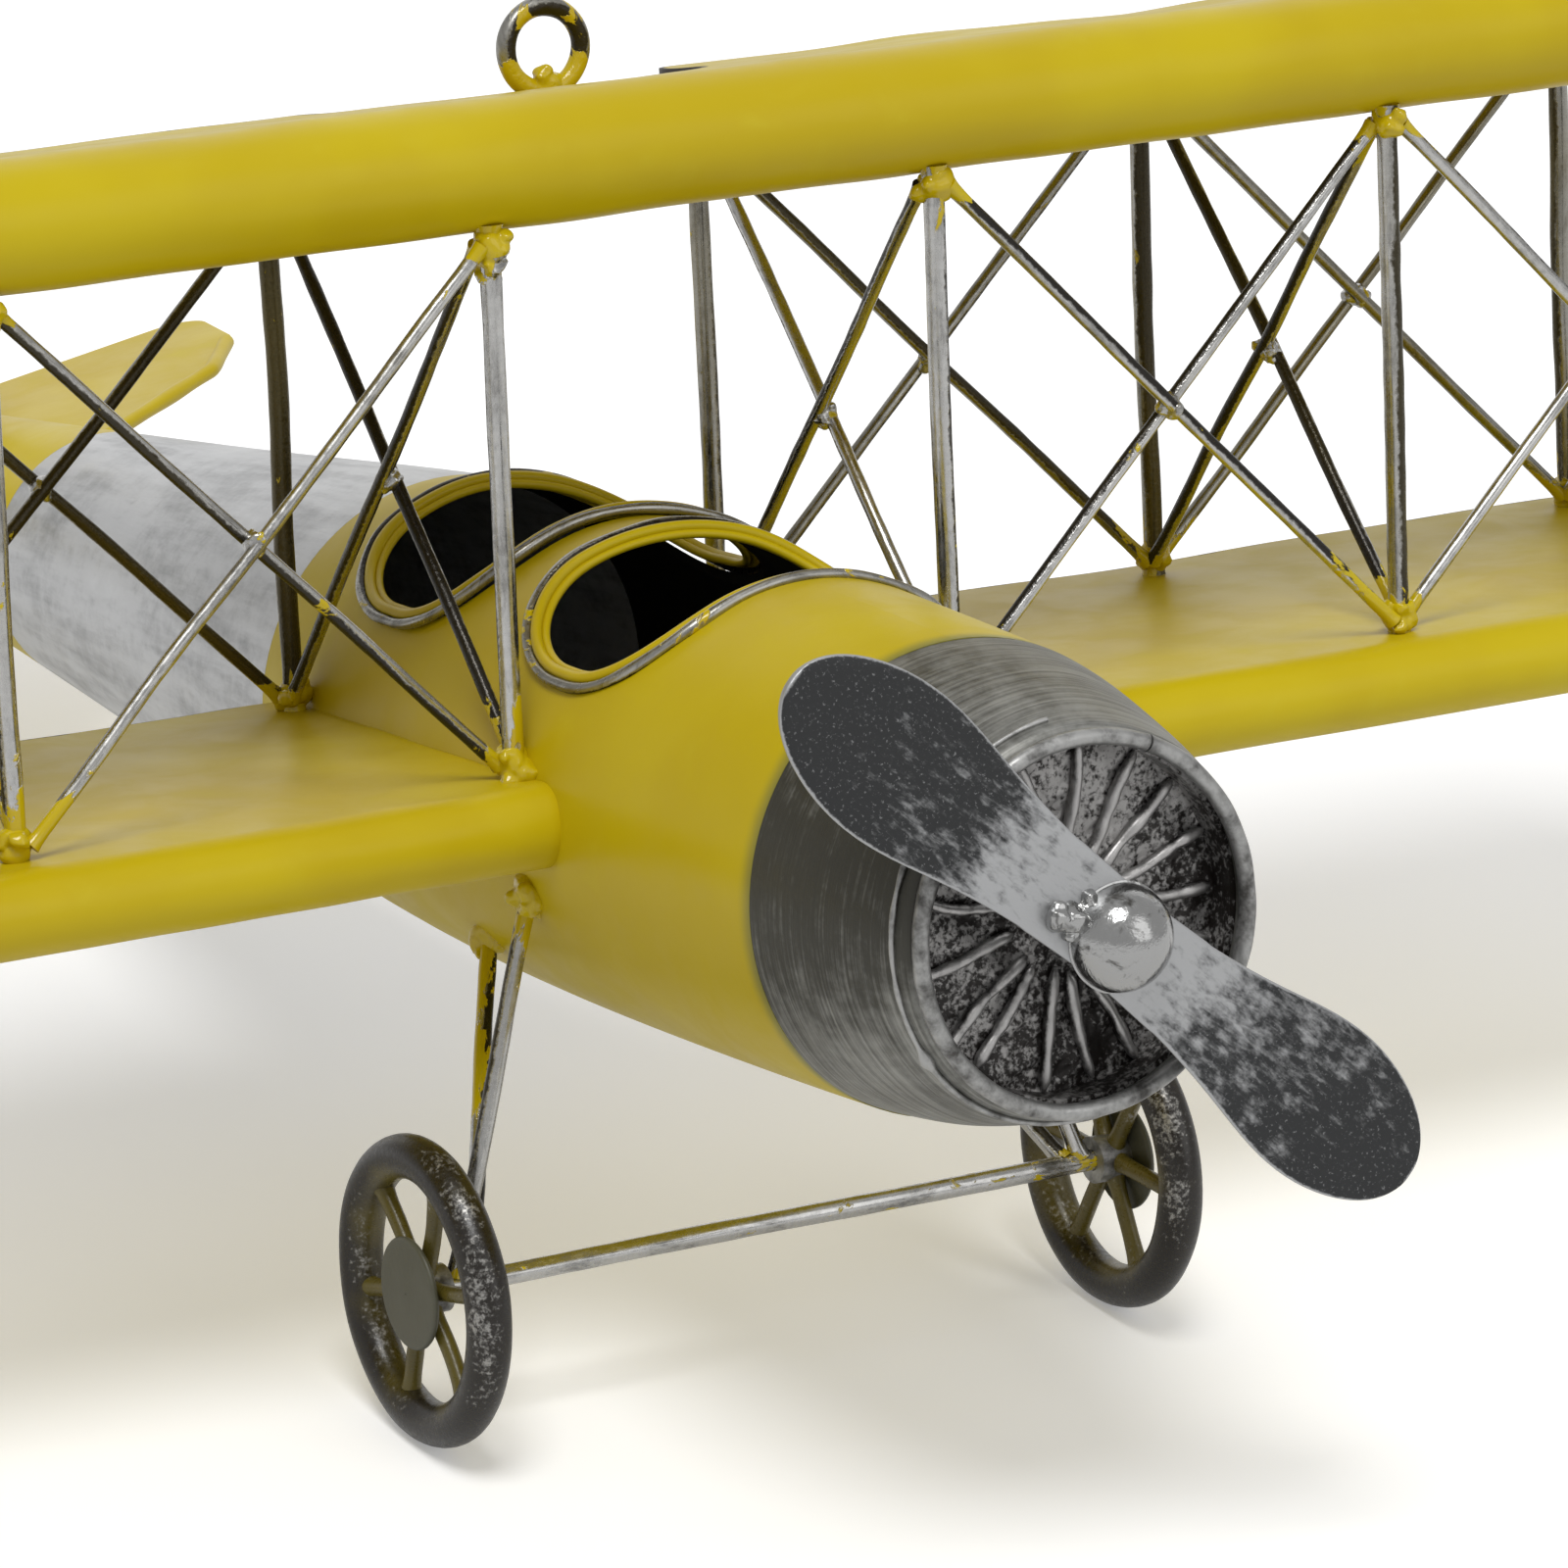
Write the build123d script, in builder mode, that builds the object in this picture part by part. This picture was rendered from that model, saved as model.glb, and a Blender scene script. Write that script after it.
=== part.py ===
"""Tabletop biplane ornament in welded sheet iron and iron wire.

The airframe is drawn level, in the rigging frame: +X to port, +Y aft, +Z up, with its
origin on the top face of the lower wing, midway between the two front inner struts.
At the end every piece is tipped nose-up onto its wheels and tail skid and moved so that
the ground is Z = 0.  All sizes are millimetres.
"""
from math import cos, radians, sin, sqrt, tan
import os

from build123d import *

os.makedirs("parts", exist_ok=True)

# Driving dimensions ---------------------------------------------------------------

SHEET = 0.9                # wing, tail and fuselage sheet
STRUT_WIRE = 3.0           # upright interplane struts
BRACE_WIRE = 2.0           # crossed bracing
RIM_WIRE = 2.0             # cockpit edging
COWL_WIRE = 2.4            # ring around the mouth of the cowl
LEG_WIRE = 2.4             # undercarriage legs and tail skid
RUNNING_CLEARANCE = 0.05   # radial, shaft in bush and wheel on axle
FIT_GAP = 0.1              # between a wire and the curved sheet it is welded to
CROSS_OFFSET = BRACE_WIRE / 2 + FIT_GAP / 2   # the two wires of a cross pass side by side
WELD_GAP = 3.6             # braces stop this far from a strut's end
STRUT_WELD = 2.7           # radius of the weld at a strut's end
CROSS_WELD = 1.9           # radius of the weld where two braces cross

# Wings
HALF_SPAN = 213.0
REAR_STRUT_Y = 67.0
TRAILING_EDGE_Y = 75.0
STRUT_LEAN = 3.7           # strut tops stand this far ahead of their feet
STATIONS = {"inner": 35.2, "middle": 111.0, "outer": 187.0}
LOWER_ROLL_RADIUS = 6.0
LOWER_ROLL_Y = -5.0
LOWER_INCIDENCE = 1.2      # degrees, trailing edge up
UPPER_ROLL_RADIUS = 9.0
UPPER_ROLL_Z = 85.0
UPPER_SLOPE = 6.8          # degrees, trailing edge down
REAR_BRACE_DROP = 8.5      # rear braces meet their struts this far below the upper wing
ROLL_SWEEP = 235.0         # degrees of leading edge rolled round
TIP_REAR_RADIUS = 26.0
TIP_FRONT_RADIUS = 9.0
CUTOUT_HALF_WIDTH = 31.0
CUTOUT_FRONT_Y = 47.0
CUTOUT_INNER_RADIUS = 8.0
CUTOUT_OUTER_RADIUS = 12.0
CUTOUT_OVERRUN = 20.0      # the cutting outline runs on this far behind the wing
EYE_Y = 43.0
EYE_RADIUS = 6.1           # wire centre line
EYE_WIRE = 2.7
EYE_FLAT = 1.6             # filed off the bottom, where the eye stands on the wing

# Fuselage: a body of revolution whose axis climbs slowly towards the tail
AXIS_Z = -7.5
AXIS_RISE = 0.0585         # rise per millimetre aft
HULL_STATIONS = [(-60.0, 32.9), (-10.0, 34.5), (60.0, 33.7), (140.0, 26.2), (200.0, 20.3), (281.0, 13.0)]
GREY_START = 84.5          # yellow front shell meets the bare rear shell
TAIL_START = 201.0         # bare rear shell meets the yellow tail cone
TAIL_END = 281.0
SEAM_GAP = 0.05
CUT_HEIGHT = 50.0          # more than the height of anything a plan outline cuts through

COCKPIT_HALF_WIDTH = 33.0  # measured round the skin from its crest
COCKPIT_CORNER = 19.5
COCKPIT_SKIN_RADIUS = 34.0
COCKPIT_LEAN = 0.0015      # how far forward the sides lie, per square millimetre from the crest
COCKPIT_POINTS = 36        # round the edge of an opening
COCKPIT_FLOOR_Z = 0.5      # the openings are cut from this height upwards
FRONT_COCKPIT = (-20.6, 20.7)
REAR_COCKPIT = (29.9, 72.2)

# Nose
COWL_REAR = -60.0
COWL_SHOULDER = (-77.0, 29.8)
COWL_FRONT = -89.8
COWL_MOUTH_RADIUS = 26.2
RING_STATION = -91.4
RING_RADIUS = 25.2
GRILLE_STATION = -84.0
GRILLE_RADIUS = 24.8
GRILLE_SHEET = 1.4
RIB_COUNT = 17
RIB_WIRE = 1.4
RIB_INNER_RADIUS = 7.0
RIB_OUTER_RADIUS = 23.0
SHAFT_RADIUS = 2.0
BUSH_RADIUS = 4.2
BUSH_FRONT = -93.0
BUSH_REAR = -79.0
SHAFT_SHOULDER_RADIUS = 3.4   # between the bush and the blades
SHAFT_HEAD = (3.6, 2.0)       # radius and thickness of the flattened rear end
SHAFT_PLAY = 0.4              # along the shaft, at each end of the bush
PROPELLER_STATION = -99.6  # front face of the blades
PROPELLER_LENGTH = 60.0    # hub centre to tip
PROPELLER_ROOT = 6.4       # half width beside the hub
PROPELLER_PADDLE = 10.4    # largest half width
PROPELLER_ANGLE = 138.3    # degrees, resting angle of the upper blade from port
PROPELLER_BEND = 5.0       # degrees, how far the upper blade is bent back
PROPELLER_SHEET = 1.2
SPINNER_RADIUS = 7.3

# Undercarriage
AXLE_Y = -1.6
AXLE_Z = -68.6
AXLE_WIRE = 3.0
WHEEL_X = 55.7
WHEEL_RADIUS = 18.8        # centre line of the rim
WHEEL_TUBE = 6.4
SPOKE_COUNT = 6
SPOKE_WIRE = 2.4
SPOKE_PHASE = 8.0          # degrees
HUB_RADIUS = 3.4
HUB_INNER_X = 52.6
HUB_OUTER_X = 57.4
HUB_POCKET_X = 55.0        # the axle's riveted head turns in a pocket
HUB_POCKET_RADIUS = 2.8
AXLE_HEAD_RADIUS = 2.4
AXLE_HEAD_GAP = 0.4        # between the head's inner face and the pocket's floor
AXLE_HEAD_INSET = 0.6      # the head's outer face lies this far inside the hub
LEG_FOOT_GAP = 0.6         # between a leg's foot and the axle
LEG_OVERRUN = 4.0          # legs run on into the fuselage this far before they are trimmed
HUB_DISC_RADIUS = 8.0
HUB_DISC_THICKNESS = 1.0
FRONT_LEG_TOP = (33.4, 1.5, -17.0)
REAR_LEG_TOP = (27.0, 27.0, -28.0)
FRONT_LEG_FOOT_X = 51.0
REAR_LEG_FOOT_X = 48.4

# Tail
TAILPLANE_DIHEDRAL = 10.6  # degrees
TAILPLANE_REAR_Y = 285.0
TAILPLANE_Z = 17.6         # height of the tailplane's plane above the origin at X = 0
TAILPLANE_HALF_SPAN = 59.5
TAILPLANE_FRONT_Y = 216.0
TAILPLANE_FRONT_EDGE = [(55.0, 262.0), (42.0, 243.0)]
TAILPLANE_TIP_RADIUS = 6.0
FIN_FRONT_Y = 248.0
FIN_SLOPE = 16.0           # the fin's front edge leans back this far above its shoulder
FIN_ROOT_Z = 12.5          # well inside the fuselage, before the fin is trimmed to it
FIN_SHOULDER_Z = 46.0
FIN_TOP_Z = 64.0
FIN_RADIUS = 12.0
RUDDER_GAP = 0.4
RUDDER_CHORD = 16.0
RUDDER_BOTTOM_Z = -4.0
RUDDER_RADIUS = 7.0
SKID_SHOE = (9.0, 15.0, 1.2)
SKID_SHOE_Y = 280.0
SKID_WIRES = [(248.0, 277.0), (272.0, 283.0)]   # head and foot of each skid wire
STANCE = 12.0              # degrees, nose-up attitude on the ground

# Frames of reference --------------------------------------------------------------

side_plane = Plane(origin=(0, 0, AXIS_Z), x_dir=(0, 1, AXIS_RISE), z_dir=(1, 0, 0))
hull_axis = Axis(side_plane.origin, side_plane.x_dir)
standing_up = Vector(0, -sin(radians(STANCE)), cos(radians(STANCE)))


def cross_plane(station, turn=0.0):
    """The plane across the fuselage at a distance aft, facing forward.

    Its local X points to port, turned upwards by an angle in degrees.
    """
    port, up = Vector(1, 0, 0), side_plane.y_dir
    return Plane(
        origin=side_plane.from_local_coords((station, 0, 0)),
        x_dir=port * cos(radians(turn)) + up * sin(radians(turn)),
        z_dir=-side_plane.x_dir,
    )


def hull_spline(inset):
    """The fuselage's outline, moved in towards its axis by inset."""
    points = [(station, radius - inset) for station, radius in HULL_STATIONS]
    return Spline(*points)


def add_rod(start, end, diameter):
    """Add a straight round rod to the part under construction."""
    start, end = Vector(*start), Vector(*end)
    with BuildSketch(Plane(origin=start, z_dir=end - start)) as section:
        Circle(diameter / 2)
    extrude(section.sketch, amount=(end - start).length)


def add_shortened_rod(start, end, diameter, gap):
    """Add a rod that stops a little way short of both corner points, where the welds are."""
    start, end = Vector(*start), Vector(*end)
    step = (end - start).normalized() * gap
    add_rod(start + step, end - step, diameter)


pieces = {}

# Fuselage -------------------------------------------------------------------------

with BuildPart() as hull_solid:
    with BuildSketch(side_plane):
        with BuildLine():
            outline = hull_spline(-FIT_GAP)
            Polyline(outline @ 1, (TAIL_END, 0), (COWL_REAR, 0), outline @ 0)
        make_face()
    revolve(axis=hull_axis)

with BuildPart() as hull_shell:
    with BuildSketch(side_plane):
        with BuildLine():
            outer = hull_spline(0)
            inner = hull_spline(SHEET)
            Line(outer @ 0, inner @ 0)
            Line(outer @ 1, inner @ 1)
        make_face()
    revolve(axis=hull_axis)


def keep_stations(first, last):
    """Keep only what lies between two stations along the fuselage axis."""
    length = last - first
    with BuildSketch(cross_plane(last)) as window:
        Circle(3 * HULL_STATIONS[0][1])
    extrude(window.sketch, amount=length, mode=Mode.INTERSECT)


def cockpit_outline(first, last, inset):
    """The plan of a cockpit opening: a rounded rectangle on the skin, seen from above."""
    with BuildSketch() as on_skin:
        RectangleRounded(
            2 * (COCKPIT_HALF_WIDTH - inset), last - first - 2 * inset, COCKPIT_CORNER - inset
        )
    edge_line = on_skin.sketch.face().outer_wire()
    points = []
    for number in range(COCKPIT_POINTS):
        place = edge_line @ (number / COCKPIT_POINTS)
        turn = place.X / COCKPIT_SKIN_RADIUS
        station = (first + last) / 2 + place.Y - COCKPIT_LEAN * place.X**2
        y = station - AXIS_RISE * COCKPIT_SKIN_RADIUS * cos(turn)
        points.append((COCKPIT_SKIN_RADIUS * sin(turn), y))
    with BuildSketch(Plane.XY.offset(COCKPIT_FLOOR_Z)) as plan:
        with BuildLine():
            Spline(*points, periodic=True)
        make_face()
    return plan.sketch


with BuildPart() as fuselage_front:
    add(hull_shell.part)
    keep_stations(COWL_REAR, GREY_START)
    for opening in (FRONT_COCKPIT, REAR_COCKPIT):
        extrude(cockpit_outline(*opening, 0), amount=CUT_HEIGHT, mode=Mode.SUBTRACT)
pieces["fuselage_front"] = fuselage_front

with BuildPart() as fuselage_rear:
    add(hull_shell.part)
    keep_stations(GREY_START + SEAM_GAP, TAIL_START)
pieces["fuselage_rear"] = fuselage_rear

with BuildPart() as tail_cone:
    add(hull_shell.part)
    keep_stations(TAIL_START + SEAM_GAP, TAIL_END)
    with BuildSketch(cross_plane(TAIL_END)):
        Circle(HULL_STATIONS[-1][1] - SHEET / 2)
    extrude(amount=SHEET)
pieces["tail_cone"] = tail_cone

# Edging wire that follows each cockpit opening over the curve of the fuselage
for name, opening in (("front_cockpit_rim", FRONT_COCKPIT), ("rear_cockpit_rim", REAR_COCKPIT)):
    with BuildPart() as rim:
        with BuildSketch(side_plane):
            with BuildLine():
                outer = hull_spline(-RIM_WIRE / 2)
                inner = hull_spline(RIM_WIRE / 2)
                Line(outer @ 0, inner @ 0)
                Line(outer @ 1, inner @ 1)
            make_face()
        revolve(axis=hull_axis)
        extrude(cockpit_outline(*opening, 0), amount=CUT_HEIGHT, mode=Mode.INTERSECT)
        extrude(cockpit_outline(*opening, RIM_WIRE), amount=CUT_HEIGHT, mode=Mode.SUBTRACT)
    pieces[name] = rim

# Engine cowl, grille and propeller ------------------------------------------------

with BuildPart() as engine_cowl:
    with BuildSketch(side_plane):
        with BuildLine() as wall:
            rear_radius = HULL_STATIONS[0][1] - SHEET / 2
            ThreePointArc((COWL_REAR - SEAM_GAP, rear_radius), COWL_SHOULDER, (COWL_FRONT, COWL_MOUTH_RADIUS))
            Line((COWL_FRONT, COWL_MOUTH_RADIUS), (COWL_FRONT, RING_RADIUS))
        trace(line_width=SHEET)
    revolve(axis=hull_axis)
pieces["engine_cowl"] = engine_cowl

with BuildPart() as cowl_ring:
    with BuildSketch(side_plane):
        with Locations((RING_STATION, RING_RADIUS)):
            Circle(COWL_WIRE / 2)
    revolve(axis=hull_axis)
    add(engine_cowl.part, mode=Mode.SUBTRACT)
pieces["cowl_ring"] = cowl_ring

with BuildPart() as engine_backplate:
    with BuildSketch(cross_plane(GRILLE_STATION)):
        Circle(GRILLE_RADIUS)
        Circle(BUSH_RADIUS, mode=Mode.SUBTRACT)
    extrude(amount=-GRILLE_SHEET)
    with BuildSketch(cross_plane(GRILLE_STATION)):
        Circle(GRILLE_RADIUS)
        Circle(GRILLE_RADIUS - SHEET, mode=Mode.SUBTRACT)
    extrude(amount=GRILLE_STATION - COWL_FRONT - SHEET / 2 - SEAM_GAP)
pieces["engine_backplate"] = engine_backplate

with BuildPart() as cylinder_ribs:
    rib_plane = cross_plane(GRILLE_STATION - RIB_WIRE / 2)
    for number in range(RIB_COUNT):
        angle = radians(360 * number / RIB_COUNT)
        add_rod(
            rib_plane.from_local_coords((RIB_INNER_RADIUS * cos(angle), RIB_INNER_RADIUS * sin(angle), 0)),
            rib_plane.from_local_coords((RIB_OUTER_RADIUS * cos(angle), RIB_OUTER_RADIUS * sin(angle), 0)),
            RIB_WIRE,
        )
pieces["cylinder_ribs"] = cylinder_ribs

with BuildPart() as shaft_bush:
    with BuildSketch(cross_plane(BUSH_REAR)):
        Circle(BUSH_RADIUS)
        Circle(SHAFT_RADIUS + RUNNING_CLEARANCE, mode=Mode.SUBTRACT)
    extrude(amount=BUSH_REAR - BUSH_FRONT)
pieces["shaft_bush"] = shaft_bush

with BuildPart() as propeller_shaft:
    with BuildSketch(side_plane):
        blade_back = PROPELLER_STATION + PROPELLER_SHEET
        shoulder = BUSH_FRONT - SHAFT_PLAY
        head_front = BUSH_REAR + SHAFT_PLAY
        head_radius, head_thickness = SHAFT_HEAD
        head_rear = head_front + head_thickness
        with BuildLine():
            Polyline(
                (blade_back, 0), (blade_back, SHAFT_SHOULDER_RADIUS), (shoulder, SHAFT_SHOULDER_RADIUS),
                (shoulder, SHAFT_RADIUS), (head_front, SHAFT_RADIUS), (head_front, head_radius),
                (head_rear, head_radius), (head_rear, 0), (blade_back, 0),
            )
        make_face()
    revolve(axis=hull_axis)
pieces["propeller_shaft"] = propeller_shaft

with BuildPart() as propeller:
    for turn, bend in ((PROPELLER_ANGLE, PROPELLER_BEND), (PROPELLER_ANGLE + 180, 0)):
        flat_blade = cross_plane(PROPELLER_STATION + PROPELLER_SHEET, turn)
        with BuildSketch(flat_blade.rotated((0, bend, 0))) as blade:
            with BuildLine():
                leading_edge = Spline(
                    (0, PROPELLER_ROOT),
                    (0.45 * PROPELLER_LENGTH, 0.86 * PROPELLER_PADDLE),
                    (0.78 * PROPELLER_LENGTH, PROPELLER_PADDLE),
                    (PROPELLER_LENGTH, 0),
                    tangents=[(1, 0), (0, -1)],
                )
                mirror(leading_edge, about=Plane.XZ)
                Line((0, PROPELLER_ROOT), (0, -PROPELLER_ROOT))
            make_face()
        extrude(blade.sketch, amount=PROPELLER_SHEET)
    with BuildSketch(cross_plane(PROPELLER_STATION + PROPELLER_SHEET)) as boss:
        Circle(PROPELLER_ROOT)
    extrude(boss.sketch, amount=PROPELLER_SHEET)
    add(propeller_shaft.part, mode=Mode.SUBTRACT)
pieces["propeller"] = propeller

with BuildPart() as spinner:
    with BuildSketch(side_plane):
        with BuildLine():
            dome = CenterArc((PROPELLER_STATION, 0), SPINNER_RADIUS, 90, 90)
            Polyline(dome @ 1, (PROPELLER_STATION, 0), dome @ 0)
        make_face()
    revolve(axis=hull_axis)
    add(propeller.part, mode=Mode.SUBTRACT)
pieces["spinner"] = spinner

# Wings ----------------------------------------------------------------------------


def wing_plan(first_x, last_x, front_y):
    """A wing panel seen from above, with every tip corner rounded."""
    with BuildSketch(Plane.XY.offset(-CUT_HEIGHT / 2)) as plan:
        with Locations(((first_x + last_x) / 2, (front_y + TRAILING_EDGE_Y) / 2)):
            Rectangle(last_x - first_x, TRAILING_EDGE_Y - front_y)
        at_tip = [v for v in plan.vertices() if abs(abs(v.X) - HALF_SPAN) < 1]
        fillet([v for v in at_tip if v.Y > 0], TIP_REAR_RADIUS)
        fillet([v for v in plan.vertices() if abs(abs(v.X) - HALF_SPAN) < 1 and v.Y < 0], TIP_FRONT_RADIUS)
    return plan.sketch


with BuildPart() as upper_wing:
    with BuildSketch(Plane.YZ):
        with BuildLine():
            roll = CenterArc((0, UPPER_ROLL_Z), UPPER_ROLL_RADIUS - SHEET / 2, 90 - UPPER_SLOPE, ROLL_SWEEP)
            PolarLine(roll @ 0, TRAILING_EDGE_Y / cos(radians(UPPER_SLOPE)), -UPPER_SLOPE)
        trace(line_width=SHEET)
    extrude(amount=HALF_SPAN, both=True)
    whole_plan = wing_plan(-HALF_SPAN, HALF_SPAN, -UPPER_ROLL_RADIUS - SHEET)
    extrude(whole_plan, amount=3 * CUT_HEIGHT, mode=Mode.INTERSECT)
    with BuildSketch(Plane.XY.offset(UPPER_ROLL_Z - CUT_HEIGHT / 2)) as cutout:
        depth = TRAILING_EDGE_Y + CUTOUT_OVERRUN - CUTOUT_FRONT_Y
        with Locations((0, CUTOUT_FRONT_Y + depth / 2)):
            Rectangle(2 * CUTOUT_HALF_WIDTH, depth)
        with Locations((0, TRAILING_EDGE_Y + CUTOUT_OVERRUN / 2)):
            Rectangle(2 * CUTOUT_HALF_WIDTH + 4 * CUTOUT_OUTER_RADIUS, CUTOUT_OVERRUN)
        corners = cutout.vertices().filter_by(lambda v: abs(abs(v.X) - CUTOUT_HALF_WIDTH) < 1)
        fillet(corners.filter_by(lambda v: v.Y < CUTOUT_FRONT_Y + 1), CUTOUT_INNER_RADIUS)
        corners = cutout.vertices().filter_by(lambda v: abs(abs(v.X) - CUTOUT_HALF_WIDTH) < 1)
        fillet(corners.filter_by(lambda v: abs(v.Y - TRAILING_EDGE_Y) < 1), CUTOUT_OUTER_RADIUS)
    extrude(amount=CUT_HEIGHT, mode=Mode.SUBTRACT)
pieces["upper_wing"] = upper_wing

for side, sign in (("port", 1), ("starboard", -1)):
    with BuildPart() as lower_wing:
        with BuildSketch(Plane.YZ):
            with BuildLine():
                roll_z = -LOWER_ROLL_RADIUS
                roll = CenterArc(
                    (LOWER_ROLL_Y, roll_z), LOWER_ROLL_RADIUS - SHEET / 2, 90 + LOWER_INCIDENCE, ROLL_SWEEP
                )
                run = (TRAILING_EDGE_Y - LOWER_ROLL_Y) / cos(radians(LOWER_INCIDENCE))
                PolarLine(roll @ 0, run, LOWER_INCIDENCE)
            trace(line_width=SHEET)
        extrude(amount=sign * HALF_SPAN)
        inner_x, outer_x = sorted((0, sign * HALF_SPAN))
        front_y = LOWER_ROLL_Y - LOWER_ROLL_RADIUS - SHEET
        extrude(wing_plan(inner_x, outer_x, front_y), amount=CUT_HEIGHT, mode=Mode.INTERSECT)
        add(hull_solid.part, mode=Mode.SUBTRACT)
    pieces[f"{side}_lower_wing"] = lower_wing

# Rigging --------------------------------------------------------------------------


def lower_corner(x, rear):
    """The foot of a strut, just above the lower wing's top face."""
    y = REAR_STRUT_Y if rear else 0
    lift = (y - LOWER_ROLL_Y) * tan(radians(LOWER_INCIDENCE))
    return Vector(x, y, lift + 2 * FIT_GAP)


def upper_face_z(y):
    """The height of the upper wing's top face, behind the roll."""
    return UPPER_ROLL_Z + UPPER_ROLL_RADIUS / cos(radians(UPPER_SLOPE)) - y * tan(radians(UPPER_SLOPE))


def upper_corner(x, rear):
    """The head of a strut, just below the upper wing."""
    y = (REAR_STRUT_Y if rear else 0) - STRUT_LEAN
    if rear:
        return Vector(x, y, upper_face_z(y) - SHEET - 4 * FIT_GAP)
    drop = sqrt(UPPER_ROLL_RADIUS**2 - (abs(y) - STRUT_WIRE / 2) ** 2)
    return Vector(x, y, UPPER_ROLL_Z - drop - FIT_GAP)


def brace_corner(x, rear):
    """Where brace wires meet the upper end of a strut."""
    corner = upper_corner(x, rear)
    return corner - Vector(0, 0, REAR_BRACE_DROP) if rear else corner



def add_cross(low_a, high_a, low_b, high_b, normal):
    """Add two crossing brace wires, one on each side of the plane they share."""
    shift = Vector(*normal) * CROSS_OFFSET
    add_shortened_rod(low_a + shift, high_b + shift, BRACE_WIRE, WELD_GAP)
    add_shortened_rod(low_b - shift, high_a - shift, BRACE_WIRE, WELD_GAP)


bays = {"inner": ("inner", "middle"), "outer": ("middle", "outer")}
for side, sign in (("port", 1), ("starboard", -1)):
    for station, distance in STATIONS.items():
        x = sign * distance
        with BuildPart() as struts:
            add_rod(lower_corner(x, False), upper_corner(x, False), STRUT_WIRE)
            add_rod(lower_corner(x, True), upper_corner(x, True), STRUT_WIRE)
        pieces[f"{side}_{station}_struts"] = struts
        with BuildPart() as station_cross:
            add_cross(
                lower_corner(x, False), brace_corner(x, False),
                lower_corner(x, True), brace_corner(x, True), (1, 0, 0),
            )
        pieces[f"{side}_{station}_cross_brace"] = station_cross
    for bay, (near, far) in bays.items():
        for place, rear in (("front", False), ("rear", True)):
            near_x, far_x = sign * STATIONS[near], sign * STATIONS[far]
            with BuildPart() as bay_cross:
                add_cross(
                    lower_corner(near_x, rear), brace_corner(near_x, rear),
                    lower_corner(far_x, rear), brace_corner(far_x, rear), (0, 1, 0),
                )
            pieces[f"{side}_{bay}_{place}_brace"] = bay_cross

eye_surface = upper_face_z(EYE_Y)
eye_centre_z = eye_surface + EYE_RADIUS + EYE_WIRE / 2 + FIT_GAP - EYE_FLAT
eye_seat = Plane(
    origin=(0, EYE_Y, eye_surface + FIT_GAP),
    z_dir=(0, sin(radians(UPPER_SLOPE)), cos(radians(UPPER_SLOPE))),
)
with BuildPart() as hanging_eye:
    with BuildSketch(Plane.YZ):
        with Locations((EYE_Y, eye_centre_z + EYE_RADIUS)):
            Circle(EYE_WIRE / 2)
    revolve(axis=Axis((0, EYE_Y, eye_centre_z), (0, 1, 0)))
    split(bisect_by=eye_seat, keep=Keep.TOP)
pieces["hanging_eye"] = hanging_eye

# Undercarriage --------------------------------------------------------------------

with BuildPart() as axle:
    head_x = HUB_POCKET_X + AXLE_HEAD_GAP
    add_rod((-head_x, AXLE_Y, AXLE_Z), (head_x, AXLE_Y, AXLE_Z), AXLE_WIRE)
    for sign in (1, -1):
        head_end = (sign * (HUB_OUTER_X - AXLE_HEAD_INSET), AXLE_Y, AXLE_Z)
        add_rod((sign * head_x, AXLE_Y, AXLE_Z), head_end, 2 * AXLE_HEAD_RADIUS)
pieces["axle"] = axle

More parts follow.
